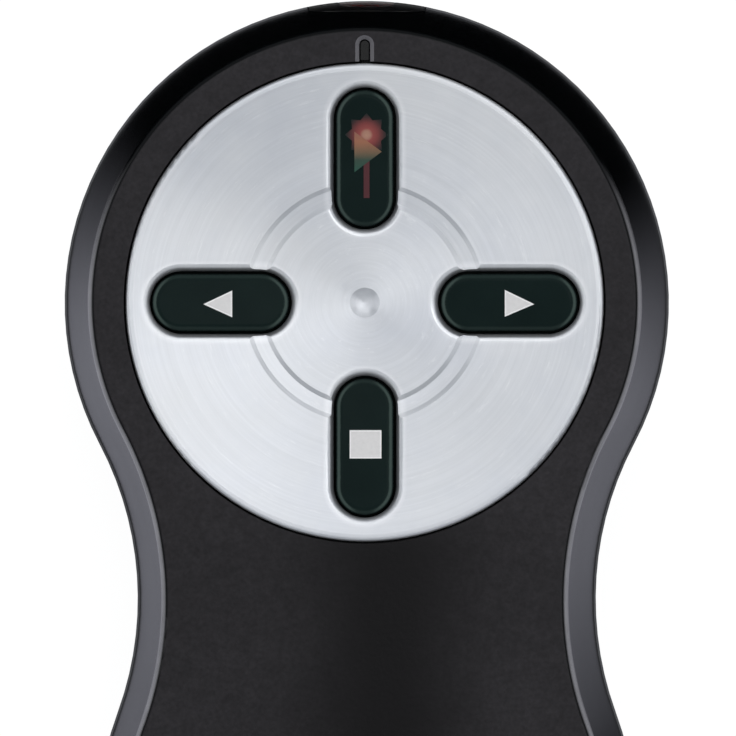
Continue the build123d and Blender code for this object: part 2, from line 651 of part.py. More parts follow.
# ---- keys: caps that follow the dish, on flanges trapped under the pan ----
with BuildPart() as over_dish:
    with BuildSketch(HEAD_SECTION):
        with BuildLine():
            low, high = (0, DISH_LOW + KEY_PROUD), (DISH_HALF, HEIGHT + KEY_PROUD)
            dish = TangentArc(low, high, tangent=(1, 0))
            Polyline(dish @ 1, (DISH_HALF, HEIGHT + DISC_T), (0, HEIGHT + DISC_T), dish @ 0)
        make_face()
    revolve(axis=HEAD_AXIS)
for name, angle in KEY_ANGLES.items():
    place = around_head(KEY_ORBIT, angle)
    spot = Location((place.X, place.Y, 0), (0, 0, angle))
    with BuildPart() as key:
        with BuildSketch(Plane.XY.offset(FLANGE_Z)):
            with Locations(spot):
                SlotOverall(KEY_L, KEY_W)
        extrude(amount=HEIGHT + DISC_T - FLANGE_Z - SNUG)
        add(over_dish.part, mode=Mode.SUBTRACT)
        fillet(key.faces().sort_by(Axis.Z)[-1].edges(), KEY_EDGE_R)
        with BuildSketch(Plane.XY.offset(FLANGE_Z)):
            with Locations(spot):
                SlotOverall(KEY_L + 2 * FLANGE_W, KEY_W + 2 * FLANGE_W)
        extrude(amount=FLANGE_T)
        add(columns([place], NUB_D / 2, (SWITCH_TOP_Z, FLANGE_Z)))
    write(key, f"{name}_key")
    plunger_z = BOARD_TOP_Z + SWITCH_BODY_H - PLUNGER_H
    with BuildPart() as plunger:
        add(columns([place], PLUNGER_D / 2, (plunger_z, SWITCH_TOP_Z)))
        fillet(plunger.edges().group_by(Axis.Z)[-1], SNUG)
    write(plunger, f"{name}_plunger")
    with BuildPart() as switch:
        with BuildSketch(Plane.XY.offset(BOARD_TOP_Z)):
            with Locations(place):
                Rectangle(SWITCH_W, SWITCH_W)
        extrude(amount=SWITCH_BODY_H)
        chamfer(switch.edges().filter_by(Axis.Z), SWITCH_CHAMFER)
        with BuildSketch(Plane.XY.offset(BOARD_TOP_Z)):
            with Locations(place):
                with GridLocations(SWITCH_W + SWITCH_LEG, SWITCH_LEG_PITCH, 2, 2):
                    Rectangle(SWITCH_LEG, SWITCH_LEG)
        extrude(amount=FREE)
        hole_z = plunger_z - KEY_TRAVEL - SNUG
        room = (hole_z, SWITCH_TOP_Z)
        add(columns([place], PLUNGER_D / 2 + SNUG, room), mode=Mode.SUBTRACT)
    write(switch, f"{name}_switch")

# ---- main board, shaped to the head with a tongue over the battery bay ----
led_y = HEAD_Y + BOARD_R - LED_W
with BuildPart() as main_board:
    with BuildSketch(Plane.XY.offset(BOARD_Z)) as board_plan:
        with Locations((0, HEAD_Y)):
            Circle(BOARD_R)
        with Locations((0, (HEAD_Y + BOARD_BACK_Y) / 2)):
            Rectangle(2 * BOARD_HALF, HEAD_Y - BOARD_BACK_Y)
        fillet(board_plan.vertices(), BOARD_CORNER_R)
        boss_room = CASE_SCREW_D / 2 + BOSS_T + FREE
        for turn in CASE_SCREW_ANGLES:
            with Locations(Location((0, HEAD_Y, 0), (0, 0, turn))):
                with Locations((CASE_SCREW_RING_R + boss_room, 0)):
                    SlotOverall(4 * boss_room, 2 * boss_room, mode=Mode.SUBTRACT)
        with Locations((0, MID_SCREW_Y)):
            Circle(boss_room, mode=Mode.SUBTRACT)
        with Locations(*FLOOR_BOARD_SCREWS, *ROOF_BOARD_SCREWS):
            Circle(BOARD_SCREW_D / 2 + SNUG, mode=Mode.SUBTRACT)
        with Locations(*[(x, BAY_FRONT_Y - CONTACT_T / 2) for x in CELL_XS]):
            Rectangle(LEG_W + 2 * SNUG, CONTACT_T + 2 * SNUG, mode=Mode.SUBTRACT)
    extrude(amount=BOARD_T)
write(main_board, "main_board")

# ---- board components ----
chip_y = BAY_FRONT_Y + CHIP_PAST_BAY
with BuildPart() as radio_chip:
    with BuildSketch(Plane.XY.offset(BOARD_TOP_Z)):
        with Locations((CHIP_X, chip_y)):
            Rectangle(CHIP_W, CHIP_W)
    extrude(amount=CHIP_H)
    chamfer(radio_chip.edges().filter_by(Axis.Z), CHIP_CHAMFER)
write(radio_chip, "radio_chip")
with BuildPart() as crystal:
    with BuildSketch(Plane.XY.offset(BOARD_TOP_Z)):
        with Locations((CRYSTAL_X, chip_y)):
            SlotOverall(CRYSTAL_L, CRYSTAL_W)
    extrude(amount=CRYSTAL_H)
    fillet(crystal.edges().group_by(Axis.Z)[-1], RUN)
write(crystal, "crystal")
with BuildPart() as passives:
    with BuildSketch(Plane.XY.offset(BOARD_TOP_Z)):
        for x in (CHIP_X - CHIP_W / 2 + PASSIVE_W, CRYSTAL_X + PASSIVE_W):
            with Locations((x, chip_y + CHIP_W / 2 + 2 * PASSIVE_L)):
                with GridLocations(2 * PASSIVE_L, 2 * PASSIVE_L, 2, 2):
                    Rectangle(PASSIVE_W, PASSIVE_L)
    extrude(amount=PASSIVE_H)
write(passives, "board_passives")
dock_y = (BOARD_BACK_Y + 2 * FREE, BOARD_BACK_Y + 2 * FREE + DOCK_L)
with BuildPart() as dock_switch:
    add(across(DOCK_W / 2, dock_y, (BOARD_TOP_Z, BOARD_TOP_Z + DOCK_H)))
    lever_y = (PLUG_TIP_Y + FREE, PLUG_TIP_Y + FREE + DOCK_LEVER_T)
    add(across(DOCK_LEVER_HALF, lever_y, (BOARD_TOP_Z + DOCK_LEVER_T, BOARD_TOP_Z + DOCK_H)))
    arm_y = (lever_y[1], dock_y[0])
    add(across(DOCK_LEVER_HALF, arm_y, (BOARD_TOP_Z + DOCK_H - DOCK_LEVER_T, BOARD_TOP_Z + DOCK_H)))
write(dock_switch, "dock_switch")

# ---- status light: a lamp on the board and a light pipe up to the face ----
with BuildPart() as status_led:
    add(across(LED_L / 2, (led_y - LED_W / 2, led_y + LED_W / 2), (BOARD_TOP_Z, BOARD_TOP_Z + LED_H)))
    chamfer(status_led.edges().group_by(Axis.Z)[-1], SNUG)
write(status_led, "status_led")
pipe_foot_z = BOARD_TOP_Z + LED_H + FREE
pipe_half = LENS_SLOT_W / 2 - LENS_BEVEL - SNUG
with BuildPart() as status_lens:
    with BuildSketch(Plane.XY.offset(pipe_foot_z)):
        add(window(LENS_BEVEL + SNUG, seat_y + SNUG))
    extrude(amount=HEIGHT - LENS_SINK - pipe_foot_z)
    add(across(pipe_half, (led_y - LED_W / 2, LENS_Y), (pipe_foot_z, pipe_foot_z + LENS_SLOT_W)))
write(status_lens, "status_lens")

# ---- laser: diode and lens in a brass barrel, behind a windowed bezel trimmed to the nose ----
barrel_back_y = BARREL_FRONT_Y - BARREL_L
lens_y = BARREL_FRONT_Y - BARREL_LIP - LENS_T
with BuildPart() as laser_barrel:
    add(rod(BARREL_D, (barrel_back_y, BARREL_FRONT_Y)))
    chamfer(laser_barrel.edges().group_by(Axis.Y)[-1], FREE)
    add(rod(BARREL_BORE, (barrel_back_y, BARREL_FRONT_Y - BARREL_LIP)), mode=Mode.SUBTRACT)
    add(rod(BEZEL_BORE, (barrel_back_y, BARREL_FRONT_Y)), mode=Mode.SUBTRACT)
write(laser_barrel, "laser_barrel")
with BuildPart() as laser_lens:
    with BuildSketch(LASER_SECTION):
        with BuildLine():
            rim = (lens_y + LENS_T / 2, LENS_D / 2)
            bulge = TangentArc((lens_y + LENS_T, 0), rim, tangent=(0, 1))
            Polyline(bulge @ 1, (lens_y, LENS_D / 2), (lens_y, 0), bulge @ 0)
        make_face()
    revolve(axis=LASER_AXIS)
write(laser_lens, "laser_lens")
can_y = barrel_back_y + CAN_IN
with BuildPart() as laser_diode:
    add(rod(LENS_D, (can_y, can_y + CAN_FLANGE_T)))
    add(rod(CAN_D, (can_y + CAN_FLANGE_T, can_y + CAN_FLANGE_T + CAN_L)))
    for turn in (-1, 0, 1):
        lead_y = barrel_back_y - LEAD_OUT + (turn == 0) * LEAD_OUT / 2
        with BuildLine():
            FilletPolyline(
                (turn * LEAD_PITCH, can_y, LASER_Z),
                (turn * LEAD_PITCH, lead_y, LASER_Z),
                (turn * LEAD_PITCH, lead_y, BOARD_Z),
                radius=2 * LEAD_D,
            )
        with BuildSketch(Plane(origin=(turn * LEAD_PITCH, can_y, LASER_Z), z_dir=(0, -1, 0))):
            Circle(LEAD_D / 2)
        sweep()
write(laser_diode, "laser_diode")
window_y = SPOT_Y - BEZEL_SPIGOT_L
with BuildPart() as nose_skin:
    add(lower_skin)
    add(upper_form())
with BuildPart() as laser_bezel:
    add(rod(BEZEL_D, (SPOT_Y, NOSE_Y)))
    add(nose_skin.part, mode=Mode.INTERSECT)
    add(rod(BEZEL_SPIGOT_D, (window_y, SPOT_Y)))
    add(rod(BEZEL_BORE, (window_y, NOSE_Y)), mode=Mode.SUBTRACT)
    add(rod(WINDOW_D + 2 * SNUG, (window_y, window_y + WINDOW_T)), mode=Mode.SUBTRACT)
write(laser_bezel, "laser_bezel")
with BuildPart() as laser_window:
    add(rod(BEZEL_BORE - 2 * SNUG, (window_y, NOSE_Y)))
    add(nose_skin.part, mode=Mode.INTERSECT)
    add(rod(WINDOW_D, (window_y, window_y + WINDOW_T)))
write(laser_window, "laser_window")

# ---- battery cells and their contacts: the two cells lie side by side, end for end ----
cell_ends = {
    "battery_1": (CELL_XS[0], BAY_FRONT_Y - CONTACT_T - STUD_H, 1),
    "battery_2": (CELL_XS[1], BAY_BACK_Y + CONTACT_T + STUD_H, -1),
}
for name, (x, plus_y, way) in cell_ends.items():
    axis = Axis((x, 0, CELL_Z), (0, 1, 0))
    section = Plane(origin=(x, 0, CELL_Z), x_dir=(0, 1, 0), z_dir=(1, 0, 0))
    minus_y = plus_y - way * CELL_L
    shoulder_y = plus_y - way * CELL_NUB_H
    with BuildPart() as cell:
        with BuildSketch(section):
            with BuildLine():
                Polyline(
                    (minus_y, 0),
                    (minus_y, CELL_D / 2),
                    (shoulder_y, CELL_D / 2),
                    (shoulder_y, CELL_NUB_D / 2),
                    (plus_y, CELL_NUB_D / 2),
                    (plus_y, 0),
                    close=True,
                )
            make_face()
        revolve(axis=axis)
        can = cell.edges().filter_by(GeomType.CIRCLE).sort_by(SortBy.RADIUS)[-2:]
        fillet(can, 2 * FREE)
        nub = cell.edges().filter_by(GeomType.CIRCLE).sort_by(Axis.Y)[-1 if way > 0 else 0]
        fillet(nub, FREE)
    write(cell, name)


def contact_plate(x, y_range):
    """The flat of one battery contact."""
    z_range = (CELL_Z - CONTACT_DOWN, CELL_Z + CONTACT_UP)
    return block((x - CONTACT_W / 2, x + CONTACT_W / 2), y_range, z_range)


def leaf_spring(x, plate_y, way):
    """Folded leaf that reaches from a contact plate to a cell's negative end."""
    with BuildPart() as leaf:
        with BuildSketch(Plane.YZ.offset(x - LEAF_W / 2)):
            with BuildLine():
                FilletPolyline(
                    (plate_y, CELL_Z - CONTACT_DOWN + LEAF_T / 2),
                    (plate_y + way * (SPRING_ROOM - LEAF_T / 2), CELL_Z),
                    (plate_y + way * SPRING_ROOM / 4, CELL_Z + CONTACT_UP),
                    radius=LEAF_T,
                )
            trace(line_width=LEAF_T)
        extrude(amount=LEAF_W)
    return leaf.part


def stud(x, y_range):
    """Raised stud that a cell's positive end rests on."""
    with BuildPart() as dome:
        with BuildSketch(Plane.XZ.offset(-y_range[0])):
            with Locations((x, CELL_Z)):
                Circle(STUD_D / 2)
        extrude(amount=y_range[0] - y_range[1])
    return dome.part


front_plate = (BAY_FRONT_Y - CONTACT_T, BAY_FRONT_Y)
leg_z = (CELL_Z, BOARD_TOP_Z + FREE)
with BuildPart() as positive_contact:
    x = CELL_XS[0]
    add(contact_plate(x, front_plate))
    add(block((x - LEG_W / 2, x + LEG_W / 2), front_plate, leg_z))
    add(stud(x, (front_plate[0] - STUD_H, front_plate[0])))
write(positive_contact, "positive_contact")
with BuildPart() as negative_contact:
    x = CELL_XS[1]
    add(contact_plate(x, front_plate))
    add(block((x - LEG_W / 2, x + LEG_W / 2), front_plate, leg_z))
    add(leaf_spring(x, front_plate[0], -1))
write(negative_contact, "negative_contact")
back_plate = (BAY_BACK_Y, BAY_BACK_Y + CONTACT_T)
with BuildPart() as bridge_contact:
    for x in CELL_XS:
        add(contact_plate(x, back_plate))
    add(across(CELL_SPACING / 2, back_plate, (CELL_Z - CONTACT_DOWN, CELL_Z + STUD_D / 2)))
    add(leaf_spring(CELL_XS[0], back_plate[1], 1))
    add(stud(CELL_XS[1], (back_plate[1], back_plate[1] + STUD_H)))
write(bridge_contact, "bridge_contact")

# ---- receiver: two moulded halves round a small board and a USB plug ----
plug_y = (RX_FRONT_Y - PLUG_ROOT, PLUG_TIP_Y)
plug_half = (PLUG_W / 2 - PLUG_SHEET, PLUG_T / 2 - PLUG_SHEET)
rx_board_y = (RX_BACK_Y + CAP_WALL + FREE, RX_FRONT_Y - PLUG_ROOT - FREE)
with BuildPart() as receiver_form:
    with BuildSketch(Plane.XY.offset(RX_Z - RX_T / 2)):
        with Locations((0, (RX_BACK_Y + RX_FRONT_Y) / 2)):
            RectangleRounded(RX_W, RX_L, RX_CORNER_R)
    extrude(amount=RX_T)
    fillet(receiver_form.edges().group_by(Axis.Z)[-1], RX_EDGE_R)
    fillet(receiver_form.edges().group_by(Axis.Z)[0], RX_EDGE_R)
    room_y = (RX_BACK_Y + CAP_WALL, RX_FRONT_Y - RX_WALL)
    room_z = (RX_Z - RX_T / 2 + RX_WALL, RX_Z + RX_T / 2 - RX_WALL)
    add(across(RX_W / 2 - RX_WALL, room_y, room_z), mode=Mode.SUBTRACT)
    hole_z = (RX_Z - PLUG_T / 2 - THREAD_ROOM, RX_Z + PLUG_T / 2 + THREAD_ROOM)
    add(across(PLUG_W / 2 + THREAD_ROOM, (room_y[1], RX_FRONT_Y), hole_z), mode=Mode.SUBTRACT)
    for side in (-1, 1):
        face_z = RX_Z + side * RX_T / 2
        groove_z = sorted((face_z, face_z - side * GRIP_DEPTH))
        for i in range(RX_GROOVES):
            groove_y = RX_BACK_Y + RX_GROOVE_PITCH * (i + 1)
            groove = (groove_y - RX_GROOVE_W / 2, groove_y + RX_GROOVE_W / 2)
            add(across(RX_GROOVE_L / 2, groove, groove_z), mode=Mode.SUBTRACT)
halves = {"receiver_lower": (RX_Z - RX_T, RX_Z), "receiver_upper": (RX_Z, RX_Z + RX_T)}
for name, z_range in halves.items():
    with BuildPart() as half:
        add(receiver_form.part)
        add(across(RX_W, (RX_BACK_Y - PAST, RX_FRONT_Y + PAST), z_range), mode=Mode.INTERSECT)
        if name == "receiver_lower":
            for side in (-1, 1):
                ledge_x = sorted((side * (RX_W / 2 - RX_WALL), side * (RX_W / 2 - 2 * RX_WALL)))
                add(block(ledge_x, rx_board_y, (RX_Z - RX_T / 2 + RX_WALL, RX_Z - RX_BOARD_T)))
    write(half, name)
with BuildPart() as receiver_board:
    add(across(RX_W / 2 - RX_WALL - SNUG, rx_board_y, (RX_Z - RX_BOARD_T, RX_Z)))
write(receiver_board, "receiver_board")
rx_chip_y = (rx_board_y[0] + rx_board_y[1]) / 2
with BuildPart() as receiver_chip:
    chip_room = (rx_chip_y - CHIP_W / 2, rx_chip_y + CHIP_W / 2)
    add(across(CHIP_W / 2, chip_room, (RX_Z, RX_Z + CHIP_H)))
    chamfer(receiver_chip.edges().filter_by(Axis.Z), CHIP_CHAMFER)
write(receiver_chip, "receiver_chip")
with BuildPart() as plug_shell:
    add(across(PLUG_W / 2, plug_y, (RX_Z - PLUG_T / 2, RX_Z + PLUG_T / 2)))
    fillet(plug_shell.edges().filter_by(Axis.Y), 2 * FREE)
    inner_z = (RX_Z - plug_half[1], RX_Z + plug_half[1])
    add(across(plug_half[0], plug_y, inner_z), mode=Mode.SUBTRACT)
    latch_y = PLUG_TIP_Y - PLUG_LATCH_IN
    latch = (latch_y - PLUG_LATCH_W / 2, latch_y + PLUG_LATCH_W / 2)
    for side in (-1, 1):
        latch_x = (side * PLUG_W / 4 - PLUG_LATCH_W / 2, side * PLUG_W / 4 + PLUG_LATCH_W / 2)
        add(block(latch_x, latch, (RX_Z - PLUG_T, RX_Z + PLUG_T)), mode=Mode.SUBTRACT)
write(plug_shell, "plug_shell")
tongue_y = (plug_y[0], PLUG_TIP_Y - FREE)
with BuildPart() as plug_tongue:
    add(across(plug_half[0] - SNUG, tongue_y, (RX_Z - plug_half[1], RX_Z)))
    chamfer(plug_tongue.edges().filter_by(Axis.X).group_by(Axis.Y)[-1], FREE)
write(plug_tongue, "plug_tongue")
with BuildPart() as plug_contacts:
    for x in PIN_X:
        pin_x = (x - PIN_W / 2, x + PIN_W / 2)
        pin_y = (rx_board_y[1] - PIN_W, PLUG_TIP_Y - PIN_IN)
        add(block(pin_x, pin_y, (RX_Z, RX_Z + PIN_T)))
write(plug_contacts, "plug_contacts")

# ---- screws ----


def screws(places, seat_z, way, head, shank):
    """Pan-head screws with a cross recess; way is the direction from head to tip."""
    head_d, head_h = head
    shank_d, shank_l = shank
    with BuildPart() as group:
        with BuildSketch(Plane.XY.offset(seat_z)):
            with Locations(*places):
                Circle(head_d / 2)
        extrude(amount=-way * head_h)
        fillet(group.edges().group_by(Axis.Z)[0 if way > 0 else -1], head_h * HEAD_ROUND)
        with BuildSketch(Plane.XY.offset(seat_z)):
            with Locations(*places):
                Circle(shank_d / 2)
        extrude(amount=way * shank_l)
        with BuildSketch(Plane.XY.offset(seat_z - way * head_h)):
            with Locations(*places):
                Rectangle(head_d * RECESS_W, head_d * RECESS_ARM)
                Rectangle(head_d * RECESS_ARM, head_d * RECESS_W)
        extrude(amount=way * head_h * RECESS_W, mode=Mode.SUBTRACT)
    return group


case_screws = screws(CASE_SCREWS, SCREW_SEAT_Z, 1, (CASE_HEAD_D, CASE_HEAD_H), (CASE_SCREW_D, CASE_SCREW_L))
write(case_screws, "casing_screws")
board_head = (BOARD_HEAD_D, BOARD_HEAD_H)
floor_screws = screws(FLOOR_BOARD_SCREWS, BOARD_TOP_Z, -1, board_head, (BOARD_SCREW_D, BOARD_SCREW_L))
roof_screws = screws(ROOF_BOARD_SCREWS, BOARD_TOP_Z, -1, board_head, (BOARD_SCREW_D, ROOF_SCREW_L))
with BuildPart() as board_screws:
    add(floor_screws.part)
    add(roof_screws.part)
write(board_screws, "board_screws")
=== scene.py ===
import bmesh
import bpy
import math
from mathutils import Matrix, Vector
from mathutils.bvhtree import BVHTree


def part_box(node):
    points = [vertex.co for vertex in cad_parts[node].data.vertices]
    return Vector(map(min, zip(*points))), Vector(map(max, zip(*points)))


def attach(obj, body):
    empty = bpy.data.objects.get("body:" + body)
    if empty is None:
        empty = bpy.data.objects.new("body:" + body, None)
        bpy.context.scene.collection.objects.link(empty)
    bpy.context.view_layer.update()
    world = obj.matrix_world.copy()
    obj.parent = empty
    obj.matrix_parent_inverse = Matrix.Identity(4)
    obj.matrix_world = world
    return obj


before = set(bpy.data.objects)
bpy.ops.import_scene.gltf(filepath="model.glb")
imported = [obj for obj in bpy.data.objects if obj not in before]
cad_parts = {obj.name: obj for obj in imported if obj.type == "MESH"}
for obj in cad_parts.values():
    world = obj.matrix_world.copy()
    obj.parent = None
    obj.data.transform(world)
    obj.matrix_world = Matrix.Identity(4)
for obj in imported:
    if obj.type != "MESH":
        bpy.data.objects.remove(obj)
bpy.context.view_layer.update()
MM = 0.001

# ---- Camera ----
# A long lens straight over the key face, with the nose at the top of the picture. It leans a
# hair to the right, so the right-hand wall shows no more than the left one.
LENS = 800.0  # in millimetres, as the sensor is
SENSOR = 36.0
VIEW_WIDTH = 52.8 * MM
VIEW_CENTRE = Vector((0.24, 26.7, 24.0)) * MM
VIEW_LEAN = math.radians(0.7)
VIEW_DEPTH = 20.0
camera = bpy.data.objects.new("camera", bpy.data.cameras.new("camera"))
camera.data.lens = LENS
camera.data.sensor_width = SENSOR
camera.data.clip_end = VIEW_DEPTH
distance = VIEW_WIDTH * LENS / SENSOR
leaning_up = Vector((math.sin(VIEW_LEAN), 0, math.cos(VIEW_LEAN)))
camera.location = VIEW_CENTRE + distance * leaning_up
camera.rotation_euler = (0, VIEW_LEAN, 0)
bpy.context.scene.collection.objects.link(camera)
bpy.context.scene.camera = camera
bpy.context.scene.view_settings.view_transform = "Standard"


# ---- Floor and lights ----
# A white sweep in a white tent, under seven soft panels: one over the nose, two over its corners,
# and a strip and an upright panel on each side. What mirrors the sweep sees painted shade on it:
# the object's own occlusion, and two black cards painted round the nose and beside the tail. From
# below the sweep is clear.
def new_material(name):
    """An empty node material and its tree."""
    material = bpy.data.materials.new(name)
    material.use_nodes = True
    material.node_tree.nodes.clear()
    return material, material.node_tree


def node(tree, kind, values=None, **settings):
    """A shader node with its settings, and its input values or links by socket name."""
    made = tree.nodes.new("ShaderNode" + kind)
    for key, value in settings.items():
        setattr(made, key, value)
    for key, value in (values or {}).items():
        if isinstance(value, bpy.types.NodeSocket):
            tree.links.new(value, made.inputs[key])
        else:
            made.inputs[key].default_value = value
    return made


def work_out(tree, operation, first, second=None):
    """One step of arithmetic on two sockets or numbers."""
    values = {0: first} if second is None else {0: first, 1: second}
    return node(tree, "Math", values, operation=operation).outputs[0]


def plus(tree, first, second):
    """The sum of two."""
    return work_out(tree, "ADD", first, second)


def minus(tree, first, second):
    """The first less the second."""
    return work_out(tree, "SUBTRACT", first, second)


def product(tree, *shares):
    """Shares multiplied together."""
    total = shares[0]
    for share in shares[1:]:
        total = work_out(tree, "MULTIPLY", total, share)
    return total


def span(tree, value, low, high, start=0.0, stop=1.0, kind="LINEAR"):
    """A value between start and stop, mapped on to low to high."""
    values = {"Value": value, "From Min": start, "From Max": stop, "To Min": low, "To Max": high}
    return node(tree, "MapRange", values, interpolation_type=kind).outputs["Result"]


def split(tree, vector):
    """The X, Y and Z of a vector."""
    return node(tree, "SeparateXYZ", {0: vector}).outputs


def in_view(tree):
    """1 where the camera looks straight or through glass, and 0 elsewhere."""
    path = node(tree, "LightPath").outputs
    return work_out(tree, "MAXIMUM", path["Is Camera Ray"], path["Is Transmission Ray"])


def mix_shaders(tree, share, first, second):
    """Two shaders mixed by a share."""
    return node(tree, "MixShader", {0: share, 1: first, 2: second}).outputs[0]


WHITE = (1, 1, 1, 1)
FLOOR_HALF = 3.0
FLOOR_Z = -0.02 * MM
FLOOR_PAINT = (0.15, 0.15, 0.15, 1)
FLOOR_GLOW = 0.93
FLOOR_BOUNCE = 0.8  # what it throws back on to the object
FLOOR_MIRRORED = (0.86, 0.87, 1.0, 1)
SHADE_REACH = 0.045
SHADE_SAMPLES = 8
SHADE_DEPTH = 1.5
NOSE_CARD = (0.018, 0.0465)  # from where it starts to show to full black
NOSE_CARD_SLANT = 0.10
TAIL_CARD_Y = -0.002
TAIL_CARD_HALF = 0.010
TAIL_CARD_DEPTH = (0.24, 0.88)  # on the left and on the right
material, tree = new_material("white_sweep")
place = split(tree, node(tree, "NewGeometry").outputs["Position"])
# Painted shade on what mirrors the sweep: the object's occlusion, and black cards painted round the
# nose and beside the tail.
shade = node(tree, "AmbientOcclusion", {"Distance": SHADE_REACH}, samples=SHADE_SAMPLES)
shade = work_out(tree, "POWER", shade.outputs["AO"], SHADE_DEPTH)
slanted = plus(tree, place["Y"], product(tree, place["X"], NOSE_CARD_SLANT))
off_nose = span(tree, slanted, 1.0, 0.0, *NOSE_CARD, kind="SMOOTHSTEP")
off_tail = work_out(tree, "DIVIDE", minus(tree, place["Y"], TAIL_CARD_Y), TAIL_CARD_HALF)
card = work_out(tree, "POWER", math.e, product(tree, off_tail, off_tail, -1.0))
card_depth = span(tree, work_out(tree, "GREATER_THAN", place["X"], 0.0), *TAIL_CARD_DEPTH)
card = product(tree, card, card_depth)
mirrored = product(tree, shade, off_nose, minus(tree, 1.0, card))
path = node(tree, "LightPath").outputs
paint = node(tree, "BsdfDiffuse", {"Color": FLOOR_PAINT}).outputs[0]
glow = node(tree, "Emission", {"Color": WHITE, "Strength": FLOOR_GLOW}).outputs[0]
lit = node(tree, "AddShader", {0: paint, 1: glow}).outputs[0]
bounce = node(tree, "Emission", {"Color": WHITE, "Strength": FLOOR_BOUNCE}).outputs[0]
image = node(tree, "Emission", {"Color": FLOOR_MIRRORED, "Strength": mirrored}).outputs[0]
clear = node(tree, "BsdfTransparent").outputs[0]
from_below = node(tree, "NewGeometry").outputs["Backfacing"]
sweep = mix_shaders(tree, in_view(tree), paint, lit)
sweep = mix_shaders(tree, path["Is Diffuse Ray"], sweep, bounce)
sweep = mix_shaders(tree, path["Is Glossy Ray"], sweep, image)
sweep = mix_shaders(tree, from_below, sweep, clear)
node(tree, "OutputMaterial", {"Surface": sweep})
floor_mesh = bpy.data.meshes.new("floor")
corners = [(-1, -1), (1, -1), (1, 1), (-1, 1)]
corners = [(x * FLOOR_HALF, y * FLOOR_HALF, FLOOR_Z) for x, y in corners]
floor_mesh.from_pydata(corners, [], [(0, 1, 2, 3)])
floor = bpy.data.objects.new("floor", floor_mesh)
floor.data.materials.append(material)
bpy.context.scene.collection.objects.link(floor)

TENT = 0.51
TENT_CLOTH = (0.90, 0.95, 1.0, 1)
world = bpy.data.worlds.new("tent")
bpy.context.scene.world = world
world.use_nodes = True
tree = world.node_tree
tree.nodes.clear()
cloth = node(tree, "Background", {"Color": TENT_CLOTH, "Strength": TENT}).outputs[0]
white = node(tree, "Background", {"Color": WHITE, "Strength": 1.0}).outputs[0]
node(tree, "OutputWorld", {"Surface": mix_shaders(tree, in_view(tree), cloth, white)})

# name, place, width and height in metres, radiance
PANELS = [
    ("overhead_panel", (0.08, 0.50, 0.90), 0.80, 0.60, 1.2),
    ("corner_panel", (0.11, 0.11, 0.98), 0.24, 0.24, 2.4),
    ("far_corner_panel", (-0.25, 0.25, 0.93), 0.26, 0.26, 1.0),
    ("left_strip", (-0.38, 0.05, 0.92), 0.50, 0.20, 0.6),
    ("right_strip", (0.38, 0.07, 0.92), 0.50, 0.20, 1.9),
    ("left_panel", (-0.60, 0.02, 0.22), 0.70, 0.40, 1.1),
    ("right_panel", (0.60, -0.02, 0.22), 0.70, 0.40, 1.0),
]
for name, spot, width, height, radiance in PANELS:
    lamp = bpy.data.lights.new(name, "AREA")
    lamp.shape = "RECTANGLE"
    lamp.size = width
    lamp.size_y = height
    lamp.energy = radiance * math.pi * width * height
    panel = bpy.data.objects.new(name, lamp)
    panel.location = spot
    panel.rotation_euler = (-Vector(spot)).to_track_quat("-Z", "Y").to_euler()
    bpy.context.scene.collection.objects.link(panel)


# ---- Casing halves and battery door ----
# Black ABS mouldings with a fine spark-eroded texture and polished walls, whose tone is painted
# darker than the face as shade. Thumbs have worn the middle of the grip smoother, and it is painted
# darker there as shade. Painted highlights lie along the edge of the face, on the rounded edge of
# the status light's slot and on the lower casing's faces that look up. The halves meet at a lip,
# three screws close them, and the door slides on short rails.
def ramp(tree, factor, stops):
    """A colour ramp through (position, grey or colour) stops."""
    made = node(tree, "ValToRGB", {0: factor})
    points = made.color_ramp.elements
    while len(points) < len(stops):
        points.new(0.5)
    for point, (place, colour) in zip(points, stops):
        point.position = place
        point.color = (*colour, 1) if hasattr(colour, "__len__") else (colour, colour, colour, 1)
    return made.outputs["Color"]


def own_space(tree):
    """Where a point lies in the piece's own space."""
    return node(tree, "TexCoord").outputs["Object"]


def grain(tree, scale, detail, roughness, vector=None):
    """Noise of so many cycles per metre."""
    vector = vector or own_space(tree)
    values = {"Vector": vector, "Scale": scale, "Detail": detail, "Roughness": roughness}
    return node(tree, "TexNoise", values).outputs[0]


def bump(tree, height, strength, depth):
    """A bump of this depth in metres."""
    values = {"Height": height, "Strength": strength, "Distance": depth}
    return node(tree, "Bump", values).outputs[0]


def blend_colours(tree, share, first, second, way="MIX"):
    """Two colours mixed by a share."""
    return node(tree, "MixRGB", {0: share, 1: first, 2: second}, blend_type=way).outputs[0]


def work_out_vector(tree, operation, first, second=None):
    """One step of arithmetic on one or two vectors."""
    values = {0: first} if second is None else {0: first, 1: second}
    return node(tree, "VectorMath", values, operation=operation).outputs[0]


def length_of(tree, vector):
    """How long a vector is."""
    return node(tree, "VectorMath", {0: vector}, operation="LENGTH").outputs["Value"]


def flat_from(tree, middle):
    """Where a point lies in plan from an upright axis through middle."""
    away = work_out_vector(tree, "SUBTRACT", own_space(tree), middle)
    return work_out_vector(tree, "MULTIPLY", away, (1, 1, 0))


def band(tree, value, rise, fall, kind="LINEAR"):
    """1 between a rise and a fall, each from a start to an end, and 0 outside them."""
    rising = span(tree, value, 0.0, 1.0, *rise, kind=kind)
    return product(tree, rising, span(tree, value, 1.0, 0.0, *fall, kind=kind))


def cover(tree, values):
    """Finish a material with one main shader that has these inputs."""
    skin = node(tree, "BsdfPrincipled", values)
    node(tree, "OutputMaterial", {"Surface": skin.outputs[0]})


def dress(names, material):
    """Give CAD nodes this material."""
    for name in names:
        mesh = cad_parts[name].data
        mesh.materials.clear()
        mesh.materials.append(material)


